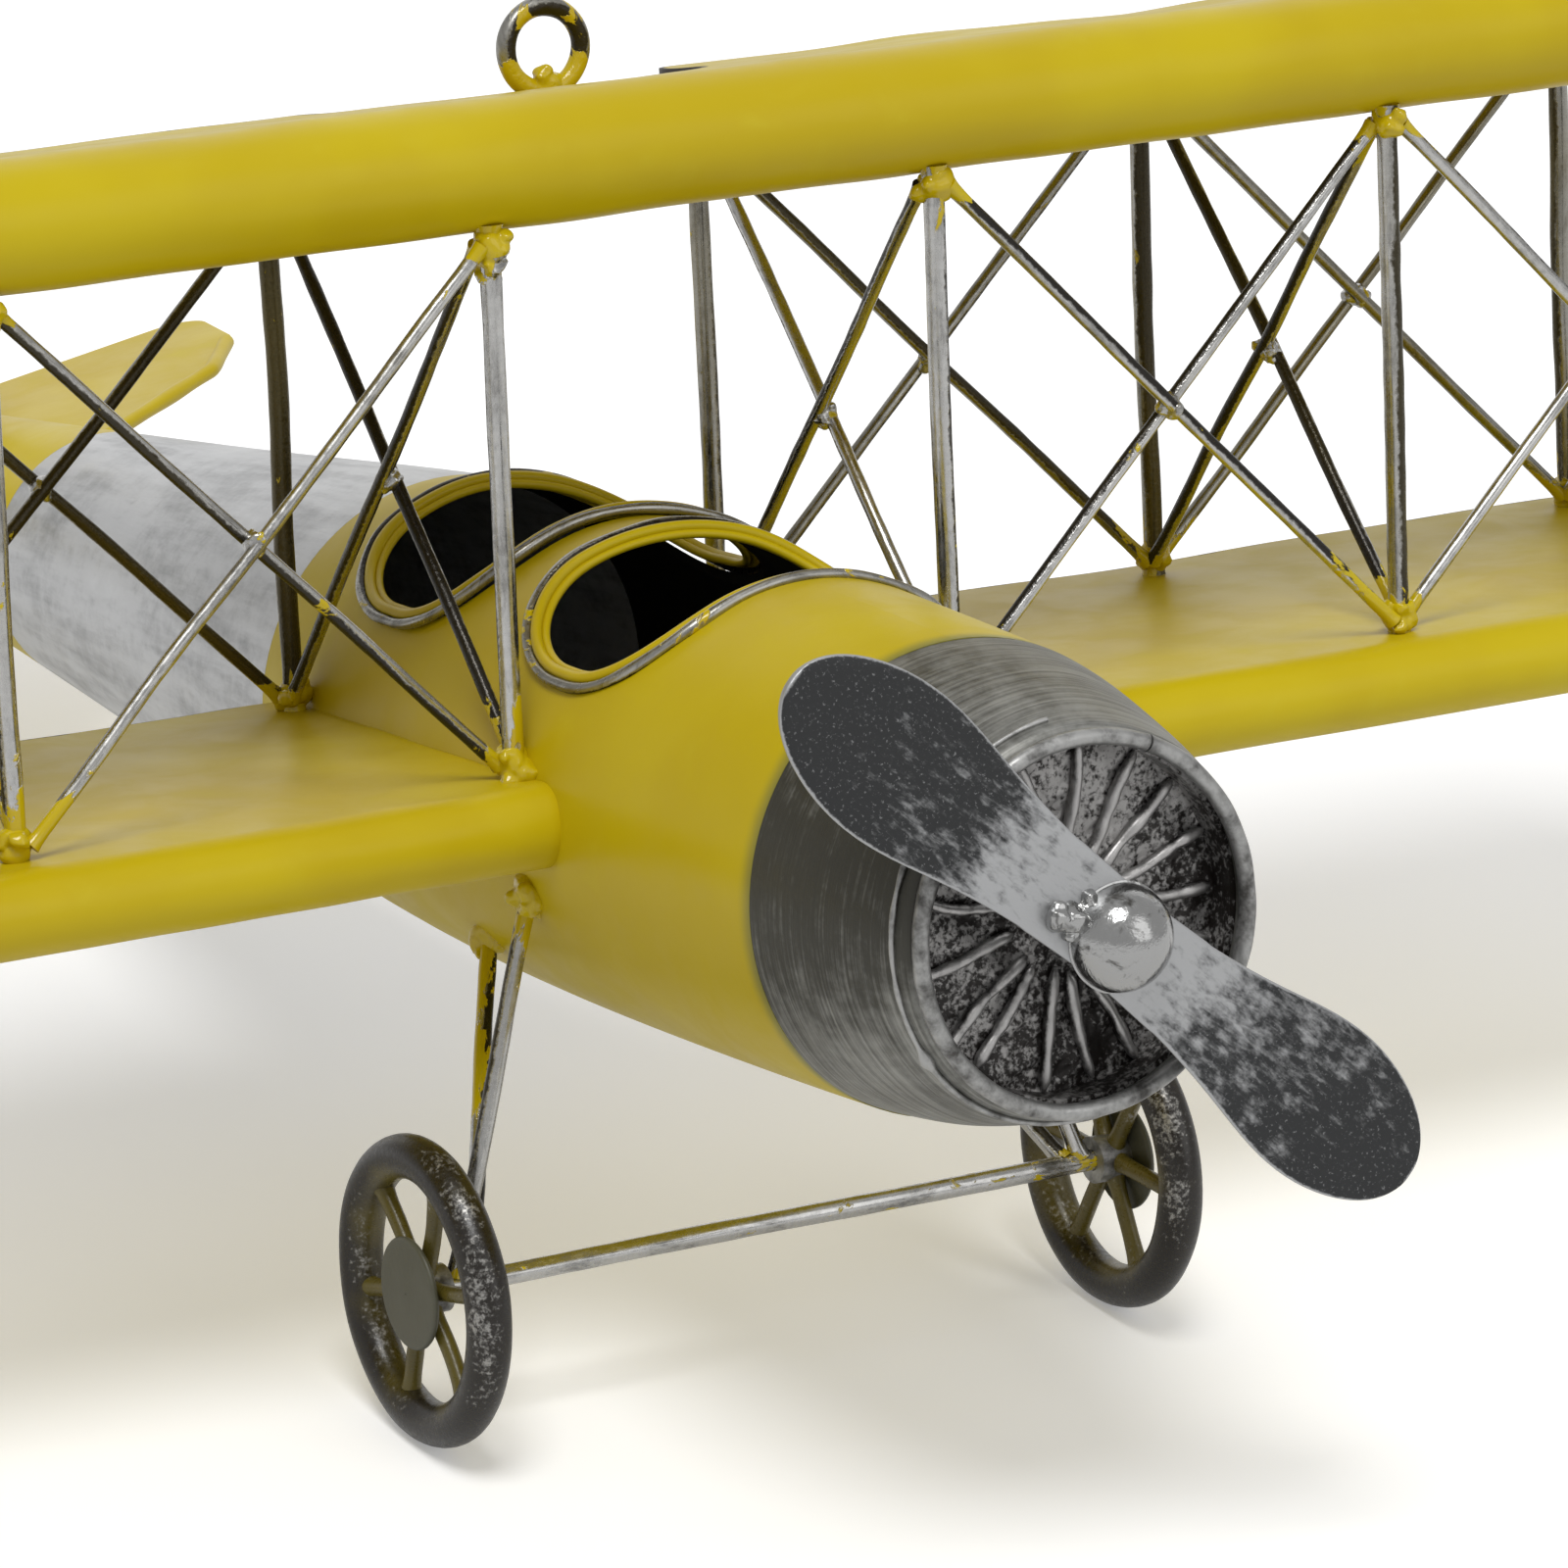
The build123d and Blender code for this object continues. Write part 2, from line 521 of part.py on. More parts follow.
for side, sign in (("port", 1), ("starboard", -1)):
    for place, top, foot_x in (
        ("front", FRONT_LEG_TOP, FRONT_LEG_FOOT_X), ("rear", REAR_LEG_TOP, REAR_LEG_FOOT_X)
    ):
        top_point = Vector(sign * top[0], top[1], top[2])
        foot = Vector(sign * foot_x, AXLE_Y, AXLE_Z)
        along = (top_point - foot).normalized()
        with BuildPart() as leg:
            leg_foot = foot + along * (AXLE_WIRE / 2 + LEG_FOOT_GAP)
            add_rod(leg_foot, top_point + along * LEG_OVERRUN, LEG_WIRE)
            add(hull_solid.part, mode=Mode.SUBTRACT)
        pieces[f"{side}_{place}_leg"] = leg

    wheel_plane = Plane(origin=(sign * WHEEL_X, AXLE_Y, AXLE_Z), x_dir=(0, 1, 0), z_dir=(sign, 0, 0))
    wheel_axis = Axis(wheel_plane.origin, wheel_plane.z_dir)
    with BuildPart() as wheel_rim:
        with BuildSketch(Plane(origin=wheel_plane.origin, x_dir=wheel_plane.x_dir, z_dir=(0, 0, 1))):
            with Locations((WHEEL_RADIUS, 0)):
                Circle(WHEEL_TUBE / 2)
        revolve(axis=wheel_axis)
    pieces[f"{side}_wheel_rim"] = wheel_rim

    with BuildPart() as wheel_spokes:
        for number in range(SPOKE_COUNT):
            angle = radians(SPOKE_PHASE + 360 * number / SPOKE_COUNT)
            inner_radius = HUB_RADIUS + FIT_GAP
            outer_radius = WHEEL_RADIUS - WHEEL_TUBE / 2 - FIT_GAP
            add_rod(
                wheel_plane.from_local_coords((inner_radius * cos(angle), inner_radius * sin(angle), 0)),
                wheel_plane.from_local_coords((outer_radius * cos(angle), outer_radius * sin(angle), 0)),
                SPOKE_WIRE,
            )
    pieces[f"{side}_wheel_spokes"] = wheel_spokes

    hub_start = Plane(origin=(sign * HUB_INNER_X, AXLE_Y, AXLE_Z), z_dir=(sign, 0, 0))
    with BuildPart() as wheel_hub:
        with BuildSketch(hub_start):
            Circle(HUB_RADIUS)
            Circle(AXLE_WIRE / 2 + RUNNING_CLEARANCE, mode=Mode.SUBTRACT)
        extrude(amount=HUB_OUTER_X - HUB_INNER_X)
        with BuildSketch(hub_start.offset(HUB_POCKET_X - HUB_INNER_X)):
            Circle(HUB_POCKET_RADIUS)
        extrude(amount=HUB_OUTER_X - HUB_POCKET_X, mode=Mode.SUBTRACT)
    pieces[f"{side}_wheel_hub"] = wheel_hub

    with BuildPart() as hub_disc:
        with BuildSketch(hub_start.offset(HUB_OUTER_X - HUB_INNER_X)):
            Circle(HUB_DISC_RADIUS)
        extrude(amount=HUB_DISC_THICKNESS)
    pieces[f"{side}_hub_disc"] = hub_disc

# Tail -----------------------------------------------------------------------------

for side, sign in (("port", 1), ("starboard", -1)):
    slope = radians(TAILPLANE_DIHEDRAL)
    tail_plane = Plane(
        origin=(0, 0, TAILPLANE_Z),
        x_dir=(sign * cos(slope), 0, sin(slope)),
        z_dir=(-sign * sin(slope), 0, cos(slope)),
    )
    with BuildPart() as tailplane:
        with BuildSketch(tail_plane) as outline:
            with BuildLine():
                corners = [(SHEET, y) for y in (TAILPLANE_FRONT_Y, TAILPLANE_REAR_Y)]
                tip = [(TAILPLANE_HALF_SPAN, TAILPLANE_REAR_Y), *TAILPLANE_FRONT_EDGE]
                Polyline(*[(u, sign * y) for u, y in corners + tip], close=True)
            make_face()
            fillet(outline.vertices().sort_by(Axis.X)[-3:], TAILPLANE_TIP_RADIUS)
        extrude(amount=-SHEET)
        add(hull_solid.part, mode=Mode.SUBTRACT)
    pieces[f"{side}_tailplane"] = tailplane

with BuildPart() as tail_fin:
    with BuildSketch(Plane.YZ) as fin_outline:
        with BuildLine():
            Polyline(
                (FIN_FRONT_Y, FIN_ROOT_Z), (FIN_FRONT_Y, FIN_SHOULDER_Z),
                (FIN_FRONT_Y + FIN_SLOPE, FIN_TOP_Z), (TAIL_END, FIN_TOP_Z), (TAIL_END, FIN_ROOT_Z),
                close=True,
            )
        make_face()
        fillet(fin_outline.vertices().group_by(Axis.Y)[1], FIN_RADIUS)
    extrude(amount=SHEET / 2, both=True)
    add(hull_solid.part, mode=Mode.SUBTRACT)
pieces["tail_fin"] = tail_fin

with BuildPart() as rudder:
    with BuildSketch(Plane.YZ) as rudder_outline:
        rudder_front = TAIL_END + RUDDER_GAP
        with Locations((rudder_front + RUDDER_CHORD / 2, (RUDDER_BOTTOM_Z + FIN_TOP_Z) / 2)):
            Rectangle(RUDDER_CHORD, FIN_TOP_Z - RUDDER_BOTTOM_Z)
        fillet(rudder_outline.vertices().group_by(Axis.X)[-1], RUDDER_RADIUS)
    extrude(amount=SHEET / 2, both=True)
pieces["rudder"] = rudder

wheel_bottom = standing_up.dot(Vector(0, AXLE_Y, AXLE_Z)) - WHEEL_RADIUS - WHEEL_TUBE / 2


def ground_point(y, height):
    """The point on the centre line at a fore-and-aft place, a height above the ground."""
    return Vector(0, y, (wheel_bottom + height + y * sin(radians(STANCE))) / cos(radians(STANCE)))


shoe_width, shoe_length, shoe_thickness = SKID_SHOE
with BuildPart() as skid_shoe:
    with BuildSketch(Plane(origin=ground_point(SKID_SHOE_Y, 0), x_dir=(1, 0, 0), z_dir=standing_up)):
        RectangleRounded(shoe_width, shoe_length, shoe_width / 3)
    extrude(amount=shoe_thickness)
pieces["skid_shoe"] = skid_shoe

with BuildPart() as tail_skid:
    for head_y, foot_y in SKID_WIRES:
        add_rod(Vector(0, head_y, side_plane.from_local_coords((head_y, 0, 0)).Z),
                ground_point(foot_y, shoe_thickness / 2), LEG_WIRE)
    add(hull_solid.part, mode=Mode.SUBTRACT)
    add(skid_shoe.part, mode=Mode.SUBTRACT)
pieces["tail_skid"] = tail_skid

# Welds ----------------------------------------------------------------------------

lift = Vector(0, 0, STRUT_WELD - SHEET)
weld_points = [(Vector(0, EYE_Y, eye_surface), STRUT_WELD)]
for sign in (1, -1):
    for distance in STATIONS.values():
        x = sign * distance
        feet = [lower_corner(x, rear) for rear in (False, True)]
        heads = [brace_corner(x, rear) for rear in (False, True)]
        weld_points += [(foot + lift, STRUT_WELD) for foot in feet]
        weld_points += [(heads[0] - lift, STRUT_WELD), (heads[1], STRUT_WELD)]
        weld_points.append((upper_corner(x, True) - lift, STRUT_WELD))
        weld_points.append((sum(feet + heads, Vector()) / 4, CROSS_WELD))
    for near, far in bays.values():
        for rear in (False, True):
            ends = [corner(sign * STATIONS[name], rear)
                    for corner in (lower_corner, brace_corner) for name in (near, far)]
            weld_points.append((sum(ends, Vector()) / 4, CROSS_WELD))
    weld_points.append((Vector(sign * FRONT_LEG_TOP[0], *FRONT_LEG_TOP[1:]), STRUT_WELD))
    weld_points.append((Vector(sign * REAR_LEG_TOP[0], *REAR_LEG_TOP[1:]), STRUT_WELD))

with BuildPart() as weld_beads:
    for weld_radius in (STRUT_WELD, CROSS_WELD):
        with Locations(*[Location(centre) for centre, radius in weld_points if radius == weld_radius]):
            Sphere(weld_radius)
pieces["weld_beads"] = weld_beads

# Stand the airframe on its wheels and skid shoe -----------------------------------

tipped = Location((0, 0, 0), (-STANCE, 0, 0))
extent = Compound([tipped * piece.part for piece in pieces.values()]).bounding_box()
standing = Location((0, -extent.center().Y, -extent.min.Z)) * tipped

for label, piece in pieces.items():
    piece.part.label = label
    export_step(standing * piece.part, f"parts/{label}.step")
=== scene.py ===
# %% [markdown]
# # A biplane ornament in painted sheet iron and rubbed wire
# The real object is cut from thin sheet, rolled, welded to iron wire, sprayed yellow or
# left bare, and rubbed back until the metal shows. Its CAD model already fixes every size
# and joint. Here each part gets the surface a metalworker would leave on it.

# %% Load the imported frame
from math import cos, pi, radians, sin, tan

import bpy
import numpy as np
from mathutils import Matrix, Vector


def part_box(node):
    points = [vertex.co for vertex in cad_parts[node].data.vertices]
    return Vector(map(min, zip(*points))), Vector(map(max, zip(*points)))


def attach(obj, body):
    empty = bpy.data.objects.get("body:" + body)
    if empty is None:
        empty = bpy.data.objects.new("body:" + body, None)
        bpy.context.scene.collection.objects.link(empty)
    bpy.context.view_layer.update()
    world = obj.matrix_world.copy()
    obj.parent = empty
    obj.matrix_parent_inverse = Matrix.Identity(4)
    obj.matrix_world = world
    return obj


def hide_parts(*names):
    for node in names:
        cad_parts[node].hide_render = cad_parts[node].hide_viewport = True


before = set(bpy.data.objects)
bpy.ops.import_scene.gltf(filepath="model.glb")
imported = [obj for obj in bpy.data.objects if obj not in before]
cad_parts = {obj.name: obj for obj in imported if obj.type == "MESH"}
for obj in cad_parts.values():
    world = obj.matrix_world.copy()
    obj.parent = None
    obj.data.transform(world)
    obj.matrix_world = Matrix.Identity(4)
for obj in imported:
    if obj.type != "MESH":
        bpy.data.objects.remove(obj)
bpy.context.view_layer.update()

# %% [markdown]
# ## Two frames of reference
# The airframe was drawn level and then tipped nose-up onto its wheels. Wings are easiest
# to write in the level frame, so one function carries level points to the standing frame.
# The wheel hub is known in both frames, which fixes the shift between them.

# %% Level and standing frames
MM = 0.001
STANCE = radians(12.0)
AXLE_LEVEL = np.array([0.0, -1.6, -68.6]) * MM
TIP_BACK = np.array([[1, 0, 0], [0, cos(STANCE), sin(STANCE)], [0, -sin(STANCE), cos(STANCE)]])


def box_centre(name):
    """The middle of a CAD node's box."""
    lowest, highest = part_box(name)
    return np.array((lowest + highest) / 2)


axle_standing = box_centre("port_hub_disc") * [0, 1, 1]
SHIFT = axle_standing - TIP_BACK @ AXLE_LEVEL


def stand(points):
    """Level points to standing points: turned about X, then shifted."""
    return np.asarray(points) @ TIP_BACK.T + SHIFT


AXIS_RISE = 0.0585
AXIS_START = stand([0, 0, -7.5 * MM])
AFT = TIP_BACK @ (np.array([0, 1, AXIS_RISE]) / np.hypot(1, AXIS_RISE))
PORT = np.array([1.0, 0.0, 0.0])
HULL_UP = np.cross(PORT, AFT)


def around_hull(station, radius, angle):
    """A point about the fuselage axis: station along it, then radius at an angle up from port."""
    station, radius, angle = np.broadcast_arrays(station, radius, angle)
    spoke = np.cos(angle)[..., None] * PORT + np.sin(angle)[..., None] * HULL_UP
    return AXIS_START + station[..., None] * AFT + radius[..., None] * spoke


print("axis starts at", AXIS_START.round(4), "and runs aft along", AFT.round(4))

# %% [markdown]
# ## Measuring the CAD wires
# Every strut, brace and spoke is a straight rod in the CAD model. Rather than writing its
# ends down again, we measure them: split a node into its loose solids, then take the two
# end rings of each.

# %% Read solids and rods from the frame


def merged(name):
    """A node's points and triangles, with points at the same place made one."""
    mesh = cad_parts[name].data
    flat = np.empty(3 * len(mesh.vertices))
    mesh.vertices.foreach_get("co", flat)
    corners = np.empty(len(mesh.loops), int)
    mesh.loops.foreach_get("vertex_index", corners)
    points, index = np.unique(flat.reshape(-1, 3).round(7), axis=0, return_inverse=True)
    return points, index.ravel()[corners].reshape(-1, 3)


def solids_of(name):
    """The points of each loose solid. The lowest label spreads over triangles until it settles."""
    points, triangles = merged(name)
    label = np.arange(len(points))
    settled = False
    while not settled:
        spread = label.copy()
        np.minimum.at(spread, triangles.ravel(), np.repeat(label[triangles].min(axis=1), 3))
        spread = spread[spread]
        settled = bool((spread == label).all())
        label = spread
    return [points[label == one] for one in np.unique(label)]


def rod_of(points):
    """Start, end and radius of a rod: its axis joins the middles of its two halves."""
    centred = points - points.mean(axis=0)
    axis = np.linalg.svd(centred, full_matrices=False)[2][0]
    upper = centred @ axis > 0
    middle_a, middle_b = points[~upper].mean(axis=0), points[upper].mean(axis=0)
    axis = (middle_b - middle_a) / np.linalg.norm(middle_b - middle_a)
    along = (points - middle_a) @ axis
    radius = np.linalg.norm(points - middle_a - along[:, None] * axis, axis=1).max()
    start, end = middle_a + along.min() * axis, middle_a + along.max() * axis
    return (start, end, radius) if start[2] < end[2] else (end, start, radius)


hull_points = np.vstack([merged(name)[0] for name in ("fuselage_front", "fuselage_rear", "tail_cone")])
hull_station = (hull_points - AXIS_START) @ AFT
hull_reach = np.linalg.norm(hull_points - AXIS_START - hull_station[:, None] * AFT, axis=1)
SHEET = 0.9 * MM
inner_guess = np.poly1d(np.polyfit(hull_station, hull_reach, 5))
outside = hull_reach > inner_guess(hull_station)
hull_radius = np.poly1d(np.polyfit(hull_station[outside], hull_reach[outside], 6))
print("hull radius in mm at 0 and 150:", (hull_radius([0, 0.15]) * 1000).round(2))

# %% [markdown]
# ## Turning arrays into meshes
# Every new piece is a grid of points worked out by numpy. A grid becomes quads between
# neighbours, wrapped round where the shape closes, and each piece carries attributes that
# its finish reads: where paint is left, where an edge is worn, and how the grain runs.

# %% Mesh helpers


def grid_faces(rows, columns, wrap_rows=False, wrap_columns=True):
    """Quads between neighbouring points of a grid."""
    row, column = np.meshgrid(
        np.arange(rows - (not wrap_rows)), np.arange(columns - (not wrap_columns)), indexing="ij"
    )
    next_row, next_column = (row + 1) % rows, (column + 1) % columns
    quads = [row * columns + column, row * columns + next_column,
             next_row * columns + next_column, next_row * columns + column]
    return np.stack(quads, axis=-1).reshape(-1, 4)


def fan(tip, start, sides, forward):
    """Triangles that close a ring of points, whose first is start, onto one tip."""
    ring = np.arange(sides)
    first, second = (ring, np.roll(ring, -1)) if forward else (np.roll(ring, -1), ring)
    return np.stack([np.full(sides, tip), start + first, start + second], axis=1).tolist()


def ripple(points, size, seed):
    """Smooth random heights, about -1 to 1: eight sine waves of about one length, added up."""
    random = np.random.default_rng(seed)
    direction = random.normal(size=(8, 3))
    direction /= np.linalg.norm(direction, axis=1)[:, None] * size * random.uniform(0.7, 1.5, (8, 1))
    return np.sin(2 * pi * points @ direction.T + random.uniform(0, 2 * pi, 8)).sum(axis=-1) / 3


def shape(points, faces, **values):
    """One shape: its points as rows, its faces, and one value or vector per point."""
    points = np.asarray(points, float)
    count = points.reshape(-1, 3).shape[0]
    kept = {}
    for label, value in values.items():
        value = np.asarray(value, float)
        vector = label == "grain"
        kept[label] = value.reshape(count, 3) if vector else np.broadcast_to(value.ravel(), count)
    return {"points": points.reshape(-1, 3), "faces": [list(face) for face in faces], **kept}


def joined(shapes):
    """Several shapes as one."""
    starts = np.cumsum([0] + [len(one["points"]) for one in shapes[:-1]])
    faces = [[int(v + start) for v in face] for one, start in zip(shapes, starts) for face in one["faces"]]
    rest = {label: np.concatenate([one[label] for one in shapes]) for label in shapes[0] if label != "faces"}
    return {**rest, "faces": faces}


def add_piece(name, made, material, slot, body="airframe", stands_for=(), sharp=50):
    """Put a shape into the scene as a piece that rides on a body."""
    mesh = bpy.data.meshes.new(name)
    mesh.from_pydata(made["points"].tolist(), [], made["faces"])
    for label, value in made.items():
        if label in ("points", "faces"):
            continue
        vector = value.ndim == 2
        attribute = mesh.attributes.new(label, "FLOAT_VECTOR" if vector else "FLOAT", "POINT")
        attribute.data.foreach_set("vector" if vector else "value", value.astype(np.float32).ravel())
    mesh.validate()
    mesh.shade_smooth()
    mesh.set_sharp_from_angle(angle=radians(sharp))
    mesh.materials.append(material)
    piece = bpy.data.objects.new(name, mesh)
    bpy.context.scene.collection.objects.link(piece)
    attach(piece, body)
    if stands_for:
        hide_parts(*stands_for)
    return piece


def turned_outward(made):
    """The same closed shape with every face outward: flipped if its signed volume is negative."""
    points = made["points"]
    fans = [(face[0], face[i], face[i + 1]) for face in made["faces"] for i in range(1, len(face) - 1)]
    a, b, c = (points[np.array(corner)] for corner in zip(*fans))
    volume = np.einsum("ij,ij->i", a, np.cross(b, c)).sum()
    return made if volume > 0 else {**made, "faces": [face[::-1] for face in made["faces"]]}


def unit(vectors):
    """Vectors of length one."""
    return vectors / np.linalg.norm(vectors, axis=-1, keepdims=True)


# %% [markdown]
# ## Wire and lathe surfaces
# A wire is a circle carried along a path. A turned part is a closed outline carried round
# an axis. Both close on themselves, so nothing shows from inside.

# %% Tube and lathe helpers


def tube(path, radius, side, sides=18, closed=False, paint=0.0, seed=0):
    """A wire: P(t, a) = path(t) + radius(t, a)·(cos a·n + sin a·b), with n and b square to the path.

    n is kept near the direction side. An open wire ends in two points, one at each pole.
    """
    path = np.asarray(path, float)
    run = unit(np.roll(path, -1, 0) - np.roll(path, 1, 0)) if closed else unit(np.gradient(path, axis=0))
    normal = unit(side - (run @ side)[:, None] * run)
    angle = np.arange(sides) * 2 * pi / sides
    radius = np.broadcast_to(np.asarray(radius, float).reshape(len(path), -1), (len(path), sides))
    spoke = np.cos(angle)[:, None] * normal[:, None] + np.sin(angle)[:, None] * np.cross(run, normal)[:, None]
    points = path[:, None] + radius[..., None] * spoke
    along = np.concatenate([[0], np.cumsum(np.linalg.norm(np.diff(path, axis=0), axis=1))])
    shift = np.random.default_rng(seed).uniform(0, 0.5, 3)
    grain = np.stack(np.broadcast_arrays(
        along[:, None], radius.mean() * np.cos(angle), radius.mean() * np.sin(angle)), axis=-1) + shift
    if closed:
        turn = 2 * pi * along / (along[-1] + along[1])
        grain[..., 0] = shift[0] + along[-1] / (2 * pi) * np.cos(turn)[:, None]
        grain[..., 1] += along[-1] / (2 * pi) * np.sin(turn)[:, None]
    paint = np.broadcast_to(np.asarray(paint, float).reshape(-1, 1) if np.ndim(paint) == 1 else paint,
                            (len(path), sides))
    # painted shade: the side of the wire that its finish darkens, set by the angle round it
    streak = np.broadcast_to(np.cos(angle - 12.0 * shift[0]), (len(path), sides))
    faces = grid_faces(len(path), sides, wrap_rows=closed)
    if closed:
        return turned_outward(shape(points, faces, grain=grain, paint=paint, streak=streak))
    ends = np.stack([path[0], path[-1]])
    count = len(path) * sides
    caps = [*fan(count, 0, sides, False), *fan(count + 1, count - sides, sides, True)]
    return turned_outward(shape(
        np.vstack([points.reshape(-1, 3), ends]), [*faces.tolist(), *caps],
        grain=np.vstack([grain.reshape(-1, 3), grain[[0, -1], 0]]),
        paint=np.concatenate([paint.ravel(), paint[[0, -1], 0]]),
        streak=np.concatenate([streak.ravel(), [0, 0]]),
    ))


def lathe(station, radius, steps=192, dent=0.0, dent_size=0.03, seed=0, wear=0.0):
    """A closed outline carried round the fuselage axis, with soft dents in its radius."""
    angle = np.arange(steps) * 2 * pi / steps
    station, radius = np.asarray(station, float), np.asarray(radius, float)
    points = around_hull(station[:, None], radius[:, None], angle)
    if dent:
        push = dent * ripple(points, dent_size, seed)
        points = around_hull(station[:, None], radius[:, None] + push, angle)
    faces = grid_faces(len(station), steps, wrap_rows=True)
    wear = np.broadcast_to(np.asarray(wear, float).reshape(-1, 1), (len(station), steps))
    return turned_outward(shape(points, faces, wear=wear))


def lump(centre, radii, seed, rough=0.12, sides=20):
    """A lumpy ball: a sphere scaled by radii, its surface pushed in and out by ripples."""
    tilt = np.linspace(0, pi, sides // 2 + 1)[1:-1, None]
    turn = np.arange(sides) * 2 * pi / sides
    ball = np.stack(np.broadcast_arrays(
        np.sin(tilt) * np.cos(turn), np.sin(tilt) * np.sin(turn), np.cos(tilt)), axis=-1).reshape(-1, 3)
    ball = np.vstack([ball, [[0, 0, 1], [0, 0, -1]]])
    push = 1 + rough * ripple(ball, 1.3, seed)[:, None]
    rows = sides // 2 - 1
    count = rows * sides
    caps = [*fan(count, 0, sides, True), *fan(count + 1, count - sides, sides, False)]
    points = np.asarray(centre) + ball * push * np.asarray(radii)
    return turned_outward(shape(points, [*grid_faces(rows, sides).tolist(), *caps]))


# %% [markdown]
# ## Shader building blocks
# A finish is built from a few node groups: one rubs dark patina off bare metal, one leaves
# flakes of paint on it, one mixes the old yellow enamel. Each is made once, with named
# sockets, and every material places it with its own numbers.

# %% Node helpers


def add_node(tree, kind, sockets=None, **settings):
    """Add a node. A socket takes a number, a colour, or another node's output."""
    made = tree.nodes.new("ShaderNode" + kind)
    for label, value in settings.items():
        setattr(made, label, value)
    for label, value in (sockets or {}).items():
        if isinstance(value, bpy.types.NodeSocket):
            tree.links.new(value, made.inputs[label])
        else:
            made.inputs[label].default_value = value
    return made


def math(tree, operation, a, b=0.0, clamp=False):
    """One sum on values that change over the surface."""
    return add_node(tree, "Math", {0: a, 1: b}, operation=operation, use_clamp=clamp).outputs[0]


def blend_colour(tree, share, a, b):
    """Colour a where share is 0 and colour b where it is 1."""
    return add_node(tree, "Mix", {0: share, 6: a, 7: b}, data_type="RGBA").outputs[2]


def blend_value(tree, share, a, b):
    """Number a where share is 0 and number b where it is 1."""
    return add_node(tree, "Mix", {0: share, 2: a, 3: b}, data_type="FLOAT").outputs[0]


def step(tree, value, low, high, start=0.0, stop=1.0):
    """A soft step from start at low to stop at high."""
    sockets = {"Value": value, "From Min": low, "From Max": high, "To Min": start, "To Max": stop}
    return add_node(tree, "MapRange", sockets, interpolation_type="SMOOTHSTEP").outputs[0]


def noise(tree, vector, scale, detail=3.0, roughness=0.55, distortion=0.0):
    """Cloudy noise, 0 to 1."""
    sockets = {"Vector": vector, "Scale": scale, "Detail": detail, "Roughness": roughness,
               "Distortion": distortion}
    return add_node(tree, "TexNoise", sockets).outputs[0]


def stretched(tree, vector, scale):
    """The same place, scaled by a different amount each way."""
    return add_node(tree, "Mapping", {"Vector": vector, "Scale": scale}).outputs[0]


def new_group(name, inputs, outputs):
    """An empty node group with named sockets."""
    group = bpy.data.node_groups.new(name, "ShaderNodeTree")
    for label, kind in inputs.items():
        group.interface.new_socket(name=label, in_out="INPUT", socket_type="NodeSocket" + kind)
    for label, kind in outputs.items():
        group.interface.new_socket(name=label, in_out="OUTPUT", socket_type="NodeSocket" + kind)
    return group, group.nodes.new("NodeGroupInput").outputs, group.nodes.new("NodeGroupOutput").inputs


def place_group(tree, group, sockets):
    """Use a group in a material or in another group."""
    made = tree.nodes.new("ShaderNodeGroup")
    made.node_tree = group
    for label, value in sockets.items():
        if isinstance(value, bpy.types.NodeSocket):
            tree.links.new(value, made.inputs[label])
        else:
            made.inputs[label].default_value = value
    return made.outputs


# %% [markdown]
# ### Patina rubbed off metal
# Dark patina sits in the hollows of old iron, and hands rub it off the high places. Two
# noises of different size, mixed and cut at a level, give that ragged border. A group is
# used so that wire, cowl and casting share one idea of wear.

# %% Group: patina rubbed off metal
rubbed, given, result = new_group(
    "Rubbed patina",
    {"Vector": "Vector", "Scale": "Float", "Cover": "Float", "Softness": "Float"},
    {"Bare": "Float", "Cloud": "Float", "Grit": "Float"},
)
cloud = noise(rubbed, given["Vector"], given["Scale"], 5.0, 0.62, 0.3)
grit = noise(rubbed, given["Vector"], math(rubbed, "MULTIPLY", given["Scale"], 7.0), 3.0, 0.7)
uneven = math(rubbed, "ADD", math(rubbed, "MULTIPLY", cloud, 0.68), math(rubbed, "MULTIPLY", grit, 0.32))
low = math(rubbed, "SUBTRACT", given["Cover"], given["Softness"])
high = math(rubbed, "ADD", given["Cover"], given["Softness"])
rubbed.links.new(step(rubbed, uneven, low, high), result["Bare"])
rubbed.links.new(cloud, result["Cloud"])
rubbed.links.new(grit, result["Grit"])

# %% [markdown]
# ### Flakes of paint
# Paint leaves metal in islands with sharp edges. A noise cut by a narrow step gives them,
# and the amount moves the cut, so a fading attribute thins the islands out.

# %% Group: flakes of paint
flaked, given, result = new_group(
    "Paint flakes", {"Vector": "Vector", "Scale": "Float", "Amount": "Float"}, {"Mask": "Float"}
)
flake = noise(flaked, given["Vector"], given["Scale"], 4.0, 0.6, 0.6)
edge = math(flaked, "SUBTRACT", 0.78, math(flaked, "MULTIPLY", given["Amount"], 0.62))
flaked.links.new(step(flaked, flake, edge, math(flaked, "ADD", edge, 0.05)), result["Mask"])

# %% [markdown]
# ### Old yellow enamel
# The yellow is sprayed enamel, a little deeper in some clouds and dusty in others. Three
# noises carry the tone, the dust and the fine orange peel of a sprayed coat.

